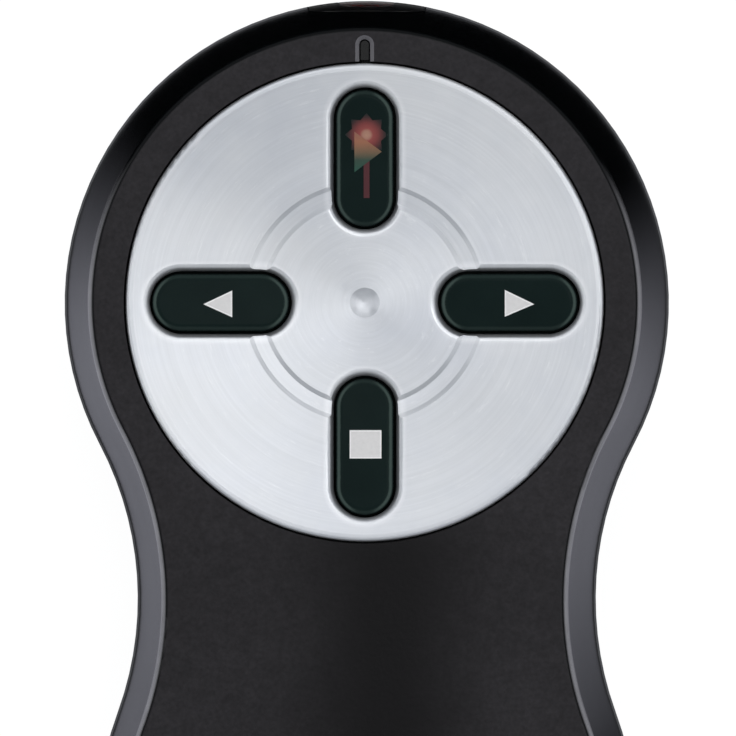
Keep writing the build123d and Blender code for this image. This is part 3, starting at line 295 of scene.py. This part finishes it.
# The moulded texture. Each noise is cycles per metre, detail and roughness.
CLOUDS = (55.0, 3.0, 0.55)
PATCHES = (1100.0, 3.0, 0.6)
TEXTURE = (3200.0, 2.0, 0.6)
TEXTURE_BUMP = 0.5
TEXTURE_DEPTH = 0.012 * MM
NOISE_RANGE = (0.3, 0.7)  # between which most of a noise lies
CLOUD_SHARE = 0.6
PATCH_SHARE = 0.4
TONE_RANGE = (0.36, 0.64)
FLECKS = 0.22
GLINTS = 0.05
# Faces that look up get a painted highlight, a paler tone.
LEDGE_HIGHLIGHT_LEAN = (0.5, 0.8)
WALL_LEAN = (0.45, 0.75)
WALL_DRIFT = 0.03
WALL_RELIEF = 0.15

# The strip down the middle of the face that thumbs have worn smoother, and that is painted darker
# as shade.
STRIP_MIDDLE = 1.55 * MM
STRIP_HALF = (0.5 * MM, 9.8 * MM)
STRIP_NOSE_END = (13.0 * MM, 20.0 * MM)
STRIP_TAIL_END = (-46.0 * MM, -26.0 * MM)
STRIP_NOISE = (130.0, 3.0, 0.6)
STRIP_WANDER = 1.4 * MM

# The parting line in plan, from the tail to the nose: middle, radius, and the y where the arc
# starts, in millimetres. A minus marks the waist's hollow arc.
PLAN_ARCS = (
    ((-180.1, -8.776), 200.0, None),
    ((-11.1, -8.776), 31.0, -8.776),
    ((40.6, 9.989), -24.0, 1.050),
    ((0.0, 31.4), 21.9, 22.210),
)
FACE_Z = 24.15 * MM
FALL_FROM_Y = 4.25 * MM
FALL_RADIUS = 954.7 * MM
DRAFT = 2.0 / 12.15  # how far the walls lean in for each millimetre up
TAIL_BELOW_Y = -40.0 * MM
POLISHED_TO = (2.40 * MM, 2.52 * MM)  # in from the parting line
TAIL_POLISHED_FROM = (0.020 * MM, 0.050 * MM)  # down from the face
# A painted highlight along the edge of the face, where its rounding meets the walls.
EDGE_HIGHLIGHT_BAND = ((1.92 * MM, 2.06 * MM), (2.22 * MM, 2.36 * MM))  # in from the parting line
EDGE_HIGHLIGHT_DEEP = 1.0 * MM
EDGE_HIGHLIGHT_TO = (34.0 * MM, 42.0 * MM)
EDGE_HIGHLIGHT_NOISE = (240.0, 4.0, 0.6)
EDGE_HIGHLIGHT_NOISE_RANGE = (0.35, 0.60)
EDGE_HIGHLIGHT_SHARE = (0.75, 1.0)
EDGE_HIGHLIGHT = (0.23, 0.225, 0.24, 1)

# A painted highlight on the rounded edge of the status light's slot.
SLOT_HIGHLIGHT_RADIUS = (1.9 * MM, 2.1 * MM)
SLOT_HIGHLIGHT_TO = (50.66 * MM, 50.80 * MM)
SLOT_HIGHLIGHT_LEAN = ((0.20, 0.40), (0.90, 0.97))
SLOT_HIGHLIGHT = (0.14, 0.135, 0.145, 1)
low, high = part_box("status_lens")
slot_middle = ((low.x + high.x) / 2, (low.y + high.y) / 2, 0)


def rubbed_and_shaded_strip(tree, place):
    """How far the face is worn smoother by thumbs and painted darker as shade, from 0 to 1."""
    wander = span(tree, grain(tree, *STRIP_NOISE), -STRIP_WANDER, STRIP_WANDER)
    aside = work_out(tree, "ABSOLUTE", minus(tree, place["X"], STRIP_MIDDLE))
    across = span(tree, plus(tree, aside, wander), 1.0, 0.0, *STRIP_HALF, kind="SMOOTHSTEP")
    at_nose = span(tree, place["Y"], 1.0, 0.0, *STRIP_NOSE_END, kind="SMOOTHSTEP")
    at_tail = span(tree, place["Y"], 0.0, 1.0, *STRIP_TAIL_END, kind="SMOOTHSTEP")
    return product(tree, across, at_nose, at_tail)


def fallen(tree, place):
    """How far the face has fallen at a point's y, on the long arc that takes it to the tail."""
    run = work_out(tree, "MAXIMUM", minus(tree, FALL_FROM_Y, place["Y"]), 0.0)
    return product(tree, run, run, 0.5 / FALL_RADIUS)


def under_face(tree, place):
    """How deep a point lies under the face."""
    return minus(tree, FACE_Z, plus(tree, fallen(tree, place), place["Z"]))


def inside_plan(tree, place):
    """How far in plan a point lies inside the parting line, as if the face had not fallen."""
    aside = work_out(tree, "ABSOLUTE", place["X"])
    inset = None
    for (x, y), radius, starts in PLAN_ARCS:
        flat = node(tree, "CombineXYZ", {"X": aside, "Y": place["Y"]}).outputs[0]
        reach = length_of(tree, work_out_vector(tree, "SUBTRACT", flat, (x * MM, y * MM, 0)))
        if radius < 0:
            arc = minus(tree, reach, -radius * MM)
        else:
            arc = minus(tree, radius * MM, reach)
        if inset is None:
            inset = arc
        else:
            past = work_out(tree, "GREATER_THAN", place["Y"], starts * MM)
            inset = span(tree, past, inset, arc)
    return plus(tree, inset, product(tree, fallen(tree, place), DRAFT))


def polished_walls(tree, place, inset, depth):
    """1 on the upper casing's walls, which start at the edge of its face, and 0 on the face."""
    ahead = work_out(tree, "GREATER_THAN", place["Y"], TAIL_BELOW_Y)
    at_tail = span(tree, depth, 0.0, 1.0, *TAIL_POLISHED_FROM)
    return span(tree, ahead, at_tail, span(tree, inset, 1.0, 0.0, *POLISHED_TO))


def painted_edge_highlight(tree, place, inset, depth):
    """How much painted highlight lies along the edge of the grip's face, from 0 to 1."""
    return product(
        tree,
        band(tree, inset, *EDGE_HIGHLIGHT_BAND),
        work_out(tree, "LESS_THAN", depth, EDGE_HIGHLIGHT_DEEP),
        span(tree, place["Y"], 1.0, 0.0, *EDGE_HIGHLIGHT_TO, kind="SMOOTHSTEP"),
        span(tree, grain(tree, *EDGE_HIGHLIGHT_NOISE), *EDGE_HIGHLIGHT_SHARE, *EDGE_HIGHLIGHT_NOISE_RANGE),
    )


def slot_highlight(tree, place, lean):
    """1 on the rounded edge of the status light's slot, where a highlight is painted, and 0
    elsewhere.
    """
    near = span(tree, length_of(tree, flat_from(tree, slot_middle)), 1.0, 0.0, *SLOT_HIGHLIGHT_RADIUS)
    inner = span(tree, place["Y"], 1.0, 0.0, *SLOT_HIGHLIGHT_TO)
    return product(tree, near, inner, band(tree, lean, *SLOT_HIGHLIGHT_LEAN))


def moulded(name, dark, light, rough, specular, sides=None, rubbed_and_shaded=None, ledge=None, grip=False):
    """Textured moulded plastic whose tone and gloss drift a little over the surface.

    sides is the tone and roughness of the polished walls, whose tone is painted darker as shade;
    rubbed_and_shaded is the tone of the strip down the grip's middle, painted darker as shade, and
    its share of the roughness, which thumbs have worn smoother; ledge is a painted highlight tone
    for faces that look up; and grip is for the upper casing, with its walls, the painted highlight
    along its edge and the painted highlight on its slot's edge.
    """
    material, tree = new_material(name)
    place = split(tree, own_space(tree))
    lean = split(tree, node(tree, "NewGeometry").outputs["True Normal"])["Z"]
    cloud, patch, fine = (grain(tree, *noise) for noise in (CLOUDS, PATCHES, TEXTURE))
    mottle = plus(tree, product(tree, cloud, CLOUD_SHARE), product(tree, patch, PATCH_SHARE))
    tone = ramp(tree, mottle, list(zip(TONE_RANGE, (dark, light))))
    flecks = span(tree, fine, 1.0 - FLECKS, 1.0 + FLECKS, *NOISE_RANGE)
    tone = work_out_vector(tree, "MULTIPLY", tone, flecks)
    gloss = span(tree, cloud, *rough, *NOISE_RANGE)
    gloss = plus(tree, gloss, span(tree, fine, -GLINTS, GLINTS))
    relief = 1.0
    if grip:
        inset, depth = inside_plan(tree, place), under_face(tree, place)
    if rubbed_and_shaded:
        strip_shade_tone, rubbed_rough = rubbed_and_shaded
        strip = rubbed_and_shaded_strip(tree, place)
        # Painted shade: the strip down the grip's middle is painted darker.
        tone = blend_colours(tree, strip, tone, (*strip_shade_tone, 1))
        gloss = product(tree, gloss, span(tree, strip, 1.0, rubbed_rough))
    if ledge:
        # Painted highlight: faces that look up are painted paler.
        tone = blend_colours(tree, span(tree, lean, 0.0, 1.0, *LEDGE_HIGHLIGHT_LEAN), tone, (*ledge, 1))
    if sides:
        side_tone, side_rough = sides
        if grip:
            steep = polished_walls(tree, place, inset, depth)
        else:
            upright = work_out(tree, "ABSOLUTE", lean)
            steep = span(tree, upright, 1.0, 0.0, *WALL_LEAN, kind="SMOOTHSTEP")
        drift = span(tree, cloud, -WALL_DRIFT, WALL_DRIFT, *NOISE_RANGE)
        # Painted shade: the walls' tone is painted darker than the face.
        tone = blend_colours(tree, steep, tone, (*side_tone, 1))
        gloss = span(tree, steep, gloss, plus(tree, side_rough, drift))
        relief = span(tree, steep, 1.0, WALL_RELIEF)
    if grip:
        # Painted highlights: along the edge of the face, and on the rounded edge of the slot.
        tone = blend_colours(tree, painted_edge_highlight(tree, place, inset, depth), tone, EDGE_HIGHLIGHT)
        tone = blend_colours(tree, slot_highlight(tree, place, lean), tone, SLOT_HIGHLIGHT)
    values = {
        "Base Color": tone,
        "Roughness": gloss,
        "Normal": bump(tree, product(tree, fine, relief), TEXTURE_BUMP, TEXTURE_DEPTH),
        "Specular IOR Level": specular,
    }
    cover(tree, values)
    return material


casing_black = moulded(
    "casing_black",
    dark=(0.0135, 0.0121, 0.0136),
    light=(0.0235, 0.0213, 0.0236),
    rough=(0.40, 0.50),
    specular=0.13,
    sides=((0.0022, 0.0026, 0.0030), 0.22),
    rubbed_and_shaded=((0.0017, 0.0012, 0.0017), 0.75),
    grip=True,
)
casing_base = moulded(
    "casing_base",
    dark=(0.0110, 0.0108, 0.0112),
    light=(0.0170, 0.0168, 0.0172),
    rough=(0.46, 0.56),
    specular=0.18,
    sides=((0.0030, 0.0030, 0.0033), 0.30),
    ledge=(0.12, 0.12, 0.127),
)
dress(["top_shell"], casing_black)
dress(["bottom_shell", "battery_door"], casing_base)

# ---- Key disc ----
# A dished plastic disc with a satin silver lacquer, brushed round its middle before the clear
# coat, with a highlight painted round its key wells. Four posts under it snap into the casing's
# pan.
KEYS = ("laser", "back", "forward", "stop")
KEY_SPINE_HALF = 2.85 * MM
# A painted highlight round each key well, where the well's rounded edge meets the dish.
WELL_HIGHLIGHT = ((2.40 * MM, 2.60 * MM), (2.72 * MM, 3.05 * MM))  # out from the key's spine
WELL_HIGHLIGHT_SHARE = 0.30
WELL_HIGHLIGHT_TONE = (0.93, 0.93, 0.95, 1)
# Lines per metre of radius, drift round the disc, detail and roughness.
BRUSHING = (5200.0, 0.9, 3.0, 0.6)
BRUSHED_TONES = [(0.3, 0.62), (0.7, 0.96)]
BRUSHED_SHARE = 0.22
BRUSHED_BUMP = 0.25
BRUSHED_DEPTH = 0.006 * MM
SCRATCHES = (2600.0, 5.0, 4.0, 0.75)
SCRATCH_RANGE = (0.60, 0.74)
SCRATCH_SHARE = 0.35
SCRATCH_TONE = (0.84, 0.84, 0.85, 1)
LACQUER_CLOUDS = (95.0, 4.0, 0.6)
LACQUER_TONES = [
    (0.28, (0.56, 0.575, 0.615)),
    (0.52, (0.64, 0.65, 0.675)),
    (0.75, (0.70, 0.705, 0.72)),
]
low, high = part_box("face_disc")
disc_middle = (low + high) / 2
material, tree = new_material("disc_silver")
from_middle = flat_from(tree, disc_middle)
radius = length_of(tree, from_middle)
bearing = work_out_vector(tree, "NORMALIZE", from_middle)


def arcs(lines_per_metre, drift, detail, roughness):
    """Noise drawn out into arcs round the disc's middle."""
    turned = work_out_vector(tree, "MULTIPLY", bearing, (drift,) * 3)
    line = node(tree, "CombineXYZ", {"Z": product(tree, radius, lines_per_metre)}).outputs[0]
    return grain(tree, 1.0, detail, roughness, work_out_vector(tree, "ADD", line, turned))


def from_keys(tree):
    """How far in plan a point lies from the spine of the nearest key."""
    nearest = 1.0
    for key in KEYS:
        low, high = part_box(key + "_key")
        size = high - low
        spine = (KEY_SPINE_HALF, 0, 0) if size.x > size.y else (0, KEY_SPINE_HALF, 0)
        flat = work_out_vector(tree, "ABSOLUTE", flat_from(tree, (low + high) / 2))
        flat = work_out_vector(tree, "SUBTRACT", flat, spine)
        flat = work_out_vector(tree, "MAXIMUM", flat, (0, 0, 0))
        nearest = work_out(tree, "MINIMUM", nearest, length_of(tree, flat))
    return nearest


lines = arcs(*BRUSHING)
scratch = span(tree, arcs(*SCRATCHES), 0.0, 1.0, *SCRATCH_RANGE)
cloud = grain(tree, *LACQUER_CLOUDS)
well_highlight = product(tree, band(tree, from_keys(tree), *WELL_HIGHLIGHT), WELL_HIGHLIGHT_SHARE)
tone = ramp(tree, cloud, LACQUER_TONES)
tone = blend_colours(tree, BRUSHED_SHARE, tone, ramp(tree, lines, BRUSHED_TONES), "MULTIPLY")
tone = blend_colours(tree, product(tree, scratch, SCRATCH_SHARE), tone, SCRATCH_TONE)
# Painted highlight round the key wells.
tone = blend_colours(tree, well_highlight, tone, WELL_HIGHLIGHT_TONE)
values = {
    "Base Color": tone,
    "Metallic": 0.75,
    "Roughness": span(tree, cloud, 0.30, 0.40, *NOISE_RANGE),
    "Anisotropic": 0.85,
    "Anisotropic Rotation": 0.25,
    "Tangent": node(tree, "Tangent", direction_type="RADIAL", axis="Z").outputs[0],
    "Normal": bump(tree, plus(tree, lines, scratch), BRUSHED_BUMP, BRUSHED_DEPTH),
    "Coat Weight": 0.12,
    "Coat Roughness": 0.18,
}
cover(tree, values)
dress(["face_disc"], material)

# ---- Keys and their printed marks ----
# Four glossy black-green keys whose tops follow the dish, held by flanges under the disc. The
# marks are pad-printed: white arrows and square, and a green arrow over a red burst with a stem.
KEY_CLOUDS = (300.0, 3.0, 0.5)
KEY_FINE = (5000.0, 2.0, 0.6)
KEY_TONES = [(0.3, (0.0066, 0.0127, 0.0120)), (0.7, (0.0083, 0.0157, 0.0148))]
KEY_BUMP = 0.2
# The keys' rounded edges carry a painted highlight, a paler green-grey, strongest on the sides that
# face left and right.
KEY_HIGHLIGHT_LEAN = ((0.40, 0.75), (0.86, 0.99))
KEY_HIGHLIGHT_SIDEWAYS = (0.15, 0.45)
KEY_HIGHLIGHT_ENDS = 0.25  # of the edge's share on the sides
KEY_HIGHLIGHT_TONE = (0.052, 0.074, 0.066, 1)
FINE_DEPTH = 0.004 * MM
material, tree = new_material("key_black")
fine = grain(tree, *KEY_FINE)
facing = split(tree, node(tree, "NewGeometry").outputs["Normal"])
sideways = work_out(tree, "ABSOLUTE", facing["X"])
# Painted highlight on the keys' rounded edges.
edge = product(
    tree,
    band(tree, facing["Z"], *KEY_HIGHLIGHT_LEAN, kind="SMOOTHSTEP"),
    span(tree, sideways, KEY_HIGHLIGHT_ENDS, 1.0, *KEY_HIGHLIGHT_SIDEWAYS, kind="SMOOTHSTEP"),
)
tone = ramp(tree, grain(tree, *KEY_CLOUDS), KEY_TONES)
values = {
    "Base Color": blend_colours(tree, edge, tone, KEY_HIGHLIGHT_TONE),
    "Roughness": span(tree, fine, 0.22, 0.32),
    "Normal": bump(tree, fine, KEY_BUMP, FINE_DEPTH),
    "Specular IOR Level": 0.01,
    "Specular Tint": (0.85, 1.0, 0.97, 1),
    "Coat Weight": 0.025,
    "Coat Roughness": 0.12,
}
cover(tree, values)
dress([f"{key}_key" for key in KEYS], material)

PRINT_PROUD = 0.012 * MM
PRINT_SUNK = 0.03 * MM
SECOND_COAT_PROUD = 1.6 * PRINT_PROUD
PLAY_PROUD = 1.8 * PRINT_PROUD
PROBE_FROM = 1.0  # where rays start, well outside the object
DOWN = Vector((0, 0, -1))


def surface_of(name):
    """A CAD node's surface, to find where a ray meets it."""
    return BVHTree.FromObject(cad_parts[name], bpy.context.evaluated_depsgraph_get())


def new_piece(name, shape, material):
    """An object made from a finished shape."""
    mesh = bpy.data.meshes.new(name)
    shape.to_mesh(mesh)
    shape.free()
    made = bpy.data.objects.new(name, mesh)
    made.data.materials.append(material)
    bpy.context.scene.collection.objects.link(made)
    return made


def printed(name, key, outline, material, proud=PRINT_PROUD):
    """A thin printed mark on a key's top; outline is in millimetres from the disc's middle."""
    top = surface_of(key + "_key")
    shape = bmesh.new()
    upper, lower = [], []
    for x, y in outline:
        spot = Vector((disc_middle.x + x * MM, disc_middle.y + y * MM, PROBE_FROM))
        hit = top.ray_cast(spot, DOWN)[0]
        upper.append(shape.verts.new(hit - proud * DOWN))
        lower.append(shape.verts.new(hit + PRINT_SUNK * DOWN))
    shape.faces.new(upper)
    shape.faces.new(lower[::-1])
    for i in range(len(upper)):
        j = (i + 1) % len(upper)
        shape.faces.new((lower[i], lower[j], upper[j], upper[i]))
    bmesh.ops.recalc_face_normals(shape, faces=shape.faces)
    bmesh.ops.triangulate(shape, faces=shape.faces)
    mark = new_piece(name, shape, material)
    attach(mark, key + "_button")


INK_PATCHES = (2600.0, 3.0, 0.6)
INK_COVER = [(0.3, 0.94), (0.6, 1.0)]
INK_BUMP = 0.15


def ink(name, colour=None, tone=None):
    """Pad-printing ink, a little uneven where it went on, in one colour or a tone made by place."""
    material, tree = new_material(name)
    patch = grain(tree, *INK_PATCHES)
    colour = tone(tree) if tone else (*colour, 1)
    values = {
        "Base Color": blend_colours(tree, 1.0, colour, ramp(tree, patch, INK_COVER), "MULTIPLY"),
        "Roughness": span(tree, patch, 0.38, 0.50),
        "Normal": bump(tree, patch, INK_BUMP, FINE_DEPTH),
        "Specular IOR Level": 0.2,
    }
    cover(tree, values)
    return material


def drawn_in(outline, margin):
    """A convex outline with each edge moved in by margin."""
    middle = sum((Vector(point) for point in outline), Vector((0, 0))) / len(outline)
    edges = []
    for i, point in enumerate(outline):
        start, run = Vector(point), Vector(outline[(i + 1) % len(outline)]) - Vector(point)
        inward = Vector((-run.y, run.x)).normalized()
        inward *= margin if inward.dot(middle - start) > 0 else -margin
        edges.append((start + inward, run))
    corners = []
    for i, (start, run) in enumerate(edges):
        before, run_before = edges[i - 1]
        share = (start - before).cross(run) / run_before.cross(run)
        corners.append(tuple(before + share * run_before))
    return corners


WHITE_MARKS = {
    "back_arrow": ("back", [(-11.58, -0.12), (-9.51, -1.06), (-9.51, 0.86)]),
    "forward_arrow": ("forward", [(12.17, -0.12), (10.05, 0.90), (10.05, -1.02)]),
    "stop_square": ("stop", [(-1.08, -9.16), (-1.08, -11.19), (1.20, -11.19), (1.20, -9.16)]),
}
SECOND_COAT_IN = 0.11
white_ink = ink("white_ink", (0.86, 0.84, 0.83))
grey_ink = ink("second_coat_ink", (0.72, 0.70, 0.69))
for name, (key, outline) in WHITE_MARKS.items():
    printed(name, key, outline, white_ink)
    printed(name + "_coat", key, drawn_in(outline, SECOND_COAT_IN), grey_ink, SECOND_COAT_PROUD)

BURST_X, BURST_Y = 0.13, 12.03
BURST_TIP = 1.56
BURST_ROOT = 1.12
BURST_POINTS = 8
BURST_TONES = [
    (0.0, (0.40, 0.22, 0.15)),
    (0.18, (0.36, 0.18, 0.13)),
    (0.30, (0.26, 0.060, 0.054)),
    (0.50, (0.19, 0.042, 0.040)),
    (0.66, (0.105, 0.028, 0.028)),
    (0.80, (0.042, 0.018, 0.018)),
    (0.94, (0.010, 0.013, 0.013)),
    (1.0, (0.005, 0.012, 0.011)),
]
burst = []
for i in range(2 * BURST_POINTS):
    reach = BURST_ROOT if i % 2 else BURST_TIP
    turn = math.pi * i / BURST_POINTS
    burst.append((BURST_X + reach * math.sin(turn), BURST_Y + reach * math.cos(turn)))


def burst_glow(tree):
    """Pale in the middle, red round it, and thin towards the tips."""
    middle = (disc_middle.x + BURST_X * MM, disc_middle.y + BURST_Y * MM, 0)
    reach = length_of(tree, flat_from(tree, middle))
    return ramp(tree, span(tree, reach, 0.0, 1.0, 0.0, BURST_TIP * MM), BURST_TONES)


printed("laser_burst", "laser", burst, ink("red_ink", tone=burst_glow))

STEM_HALF = 0.21
STEM_TOP, STEM_FOOT = 10.85, 7.5
left, right = BURST_X - STEM_HALF, BURST_X + STEM_HALF
stem = [(left, STEM_TOP), (left, STEM_FOOT), (right, STEM_FOOT), (right, STEM_TOP)]
printed("laser_stem", "laser", stem, ink("stem_ink", (0.078, 0.020, 0.024)))

PLAY_TOP, PLAY_FOOT = 12.26, 9.35
PLAY = [(-0.74, PLAY_TOP), (-0.74, PLAY_FOOT), (1.22, 10.82)]
PLAY_TONES = [
    (0.0, (0.018, 0.075, 0.052)),
    (0.30, (0.034, 0.064, 0.046)),
    (0.48, (0.150, 0.100, 0.060)),
    (0.75, (0.310, 0.130, 0.075)),
    (1.0, (0.260, 0.115, 0.085)),
]


def play_fade(tree):
    """Green at the lower end, turning warm where the burst shows through."""
    along = split(tree, own_space(tree))["Y"]
    ends = (disc_middle.y + PLAY_FOOT * MM, disc_middle.y + PLAY_TOP * MM)
    return ramp(tree, span(tree, along, 0.0, 1.0, *ends), PLAY_TONES)


printed("play_arrow", "laser", PLAY, ink("play_ink", tone=play_fade), PLAY_PROUD)

# ---- Switches, crystal and chips ----
# Snap switches and a crystal under tinned steel covers, soldered to the board, with moulded
# plungers and chips in dark plastic. The metals further on share the covers' make-up.
PATINA = (900.0, 4.0, 0.6)
TOOL_MARKS = (5400.0, 2.0, 0.7)
TOOL_MARKS_BUMP = 0.2
POLISH_DEPTH = 0.003 * MM
STAINED = 0.85
POLISH = (0.8, 1.3)  # of the metal's roughness, from its brightest to its dullest patches


def metal(name, colour, rough):
    """Plated or turned metal with a light patina and fine tool marks."""
    material, tree = new_material(name)
    patch = grain(tree, *PATINA)
    stained = [channel * STAINED for channel in colour]
    values = {
        "Base Color": ramp(tree, patch, [(0.3, stained), (0.65, colour)]),
        "Metallic": 1.0,
        "Roughness": span(tree, patch, rough * POLISH[0], rough * POLISH[1], *NOISE_RANGE),
        "Normal": bump(tree, grain(tree, *TOOL_MARKS), TOOL_MARKS_BUMP, POLISH_DEPTH),
    }
    cover(tree, values)
    return material


tin_plate = metal("tin_plate", (0.62, 0.62, 0.63), rough=0.28)
dark_part = moulded(
    "dark_part",
    dark=(0.012, 0.012, 0.013),
    light=(0.020, 0.020, 0.021),
    rough=(0.45, 0.55),
    specular=0.4,
)
dress([f"{key}_switch" for key in KEYS] + ["dock_switch", "crystal"], tin_plate)
dress([f"{key}_plunger" for key in KEYS] + ["radio_chip", "receiver_chip"], dark_part)

# ---- Status light ----
# A smoke-clear moulded light pipe in a small slot beside the disc, over a lamp of clear resin
# that is soldered to the board.
SMOKE = (1500.0, 2.0, 0.5)
SMOKE_BUMP = 0.1
material, tree = new_material("light_pipe")
smoke = grain(tree, *SMOKE)
values = {
    "Base Color": ramp(tree, smoke, [(0.3, 0.003), (0.7, 0.006)]),
    "Roughness": span(tree, smoke, 0.08, 0.16),
    "Normal": bump(tree, smoke, SMOKE_BUMP, POLISH_DEPTH),
    "Specular IOR Level": 0.15,
}
cover(tree, values)
lamp_resin = moulded(
    "lamp_resin",
    dark=(0.55, 0.55, 0.48),
    light=(0.70, 0.70, 0.62),
    rough=(0.2, 0.3),
    specular=0.5,
)
dress(["status_lens"], material)
dress(["status_led"], lamp_resin)

# ---- Laser ----
# A diode and a moulded lens in a turned brass barrel, behind a red window that a glossy black
# ring holds in the nose, flush with it. Black rings fill the room round the ring and the window,
# a dark fill that stands in for the shade in those gaps.
bezel_black = moulded(
    "bezel_black",
    dark=(0.0060, 0.0060, 0.0064),
    light=(0.0090, 0.0090, 0.0095),
    rough=(0.20, 0.28),
    specular=0.3,
)
dress(["laser_barrel"], metal("barrel_brass", (0.72, 0.50, 0.20), rough=0.25))
dress(["laser_diode"], metal("diode_can", (0.78, 0.60, 0.30), rough=0.22))
dress(["laser_bezel"], bezel_black)

# The piece inside each dark ring that stands in for shade, and the ring's inner and outer radius.
GAP_SHADE_RINGS = {
    "bezel_gap_shade": ("laser_bezel", 4.19 * MM, 4.31 * MM),
    "window_gap_shade": ("laser_window", 1.99 * MM, 2.11 * MM),
}
LASER_Z = 11.75 * MM
GAP_SHADE_SUNK = 0.02 * MM
GAP_SHADE_PROBE_IN = 0.04 * MM
GAP_SHADE_DEEP = 1.2 * MM
GAP_SHADE_STEPS = 120
TO_TAIL = Vector((0, -1, 0))
# Painted shade: a black ring put in each gap, where there would be shade.
for name, (piece, inner, outer) in GAP_SHADE_RINGS.items():
    front = surface_of(piece)
    shape = bmesh.new()
    rings = []
    for i in range(GAP_SHADE_STEPS):
        turn = 2 * math.pi * i / GAP_SHADE_STEPS
        way = Vector((math.sin(turn), 0, math.cos(turn)))
        start = Vector((0, PROBE_FROM, LASER_Z)) + (inner - GAP_SHADE_PROBE_IN) * way
        face_y = front.ray_cast(start, TO_TAIL)[0].y - GAP_SHADE_SUNK
        back_y = face_y - GAP_SHADE_DEEP
        corners = ((inner, face_y), (outer, face_y), (outer, back_y), (inner, back_y))
        ring = [Vector((0, y, LASER_Z)) + reach * way for reach, y in corners]
        rings.append([shape.verts.new(corner) for corner in ring])
    for i, ring in enumerate(rings):
        after = rings[(i + 1) % GAP_SHADE_STEPS]
        for j in range(len(ring)):
            k = (j + 1) % len(ring)
            shape.faces.new((ring[j], after[j], after[k], ring[k]))
    bmesh.ops.recalc_face_normals(shape, faces=shape.faces)
    gap_shade = new_piece(name, shape, bezel_black)
    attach(gap_shade, "casing")

HAZE = (1200.0, 2.0, 0.5)
HAZE_SHARE = 0.94
for name, tint, piece in (
    ("lens_clear", (0.93, 0.95, 0.96), "laser_lens"),
    ("window_red", (0.10, 0.002, 0.002), "laser_window"),
):
    material, tree = new_material(name)
    haze = grain(tree, *HAZE)
    hazy = [channel * HAZE_SHARE for channel in tint]
    values = {
        "Base Color": ramp(tree, haze, [(0.3, hazy), (0.7, tint)]),
        "Roughness": span(tree, haze, 0.02, 0.06),
        "Transmission Weight": 0.9,
    }
    cover(tree, values)
    dress([piece], material)

# ---- Boards ----
# Glass-epoxy boards under green solder resist, with fine copper runs that show as paler lines,
# and small fired ceramic parts soldered on.
RUNS = {"Scale": 420.0, "Mortar Size": 0.06}
RUN_TONE = (0.035, 0.17, 0.075, 1)
RUN_BUMP = 0.3
RUN_DEPTH = 0.02 * MM
WEAVE = (2500.0, 2.0, 0.5)
RESIST_TONES = [(0.3, (0.010, 0.075, 0.030)), (0.7, (0.014, 0.100, 0.040))]
material, tree = new_material("board_green")
runs = node(tree, "TexBrick", {"Vector": own_space(tree), **RUNS}).outputs["Fac"]
weave = grain(tree, *WEAVE)
values = {
    "Base Color": blend_colours(tree, runs, ramp(tree, weave, RESIST_TONES), RUN_TONE),
    "Roughness": span(tree, weave, 0.28, 0.40),
    "Normal": bump(tree, runs, RUN_BUMP, RUN_DEPTH),
}
cover(tree, values)
ceramic_tan = moulded(
    "ceramic_tan",
    dark=(0.34, 0.24, 0.14),
    light=(0.45, 0.33, 0.20),
    rough=(0.35, 0.5),
    specular=0.5,
)
dress(["main_board", "receiver_board"], material)
dress(["board_passives"], ceramic_tan)

# ---- Cells and contacts ----
# Two AAA cells in dark printed sleeves, whose copper-toned band marks the positive end, held
# between nickel-plated contacts with sprung leaves.
SLEEVE_TONES = [
    (0.0, (0.52, 0.52, 0.50)),  # the bare negative end
    (0.012, (0.018, 0.020, 0.024)),
    (0.740, (0.022, 0.024, 0.028)),
    (0.744, (0.36, 0.15, 0.06)),  # the band
    (0.972, (0.36, 0.15, 0.06)),
    (0.980, (0.60, 0.60, 0.58)),  # the bare positive end
]
SCUFFS = (700.0, 4.0, 0.6)
SCUFF_SHARE = 0.25
SCUFF_TONE = (0.10, 0.10, 0.10, 1)
for name, way in (("battery_1", 1), ("battery_2", -1)):
    material, tree = new_material(name + "_sleeve")
    low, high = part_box(name)
    ends = (low.y, high.y) if way > 0 else (high.y, low.y)
    along = span(tree, split(tree, own_space(tree))["Y"], 0.0, 1.0, *ends)
    scuff = grain(tree, *SCUFFS)
    scuffed = span(tree, scuff, 0.0, SCUFF_SHARE)
    values = {
        "Base Color": blend_colours(tree, scuffed, ramp(tree, along, SLEEVE_TONES), SCUFF_TONE),
        "Metallic": 0.55,
        "Roughness": span(tree, scuff, 0.22, 0.36),
    }
    cover(tree, values)
    dress([name], material)
contact_nickel = metal("contact_nickel", (0.66, 0.65, 0.61), rough=0.25)
dress(["positive_contact", "negative_contact", "bridge_contact"], contact_nickel)

# ---- Receiver ----
# A black two-part housing with a standard plug: a folded nickel-plated shell round a black
# tongue that carries four gold-flashed contacts.
receiver_black = moulded(
    "receiver_black",
    dark=(0.010, 0.010, 0.011),
    light=(0.014, 0.014, 0.015),
    rough=(0.42, 0.52),
    specular=0.42,
)
dress(["receiver_lower", "receiver_upper"], receiver_black)
dress(["plug_shell"], metal("plug_steel", (0.64, 0.64, 0.65), rough=0.22))
dress(["plug_tongue"], dark_part)
dress(["plug_contacts"], metal("pin_gold", (0.85, 0.62, 0.25), rough=0.18))

# ---- Screws ----
# Zinc-plated pan-head screws with cross recesses: three close the casing from below, and four
# hold the board.
dress(["casing_screws", "board_screws"], metal("screw_zinc", (0.52, 0.52, 0.54), rough=0.30))
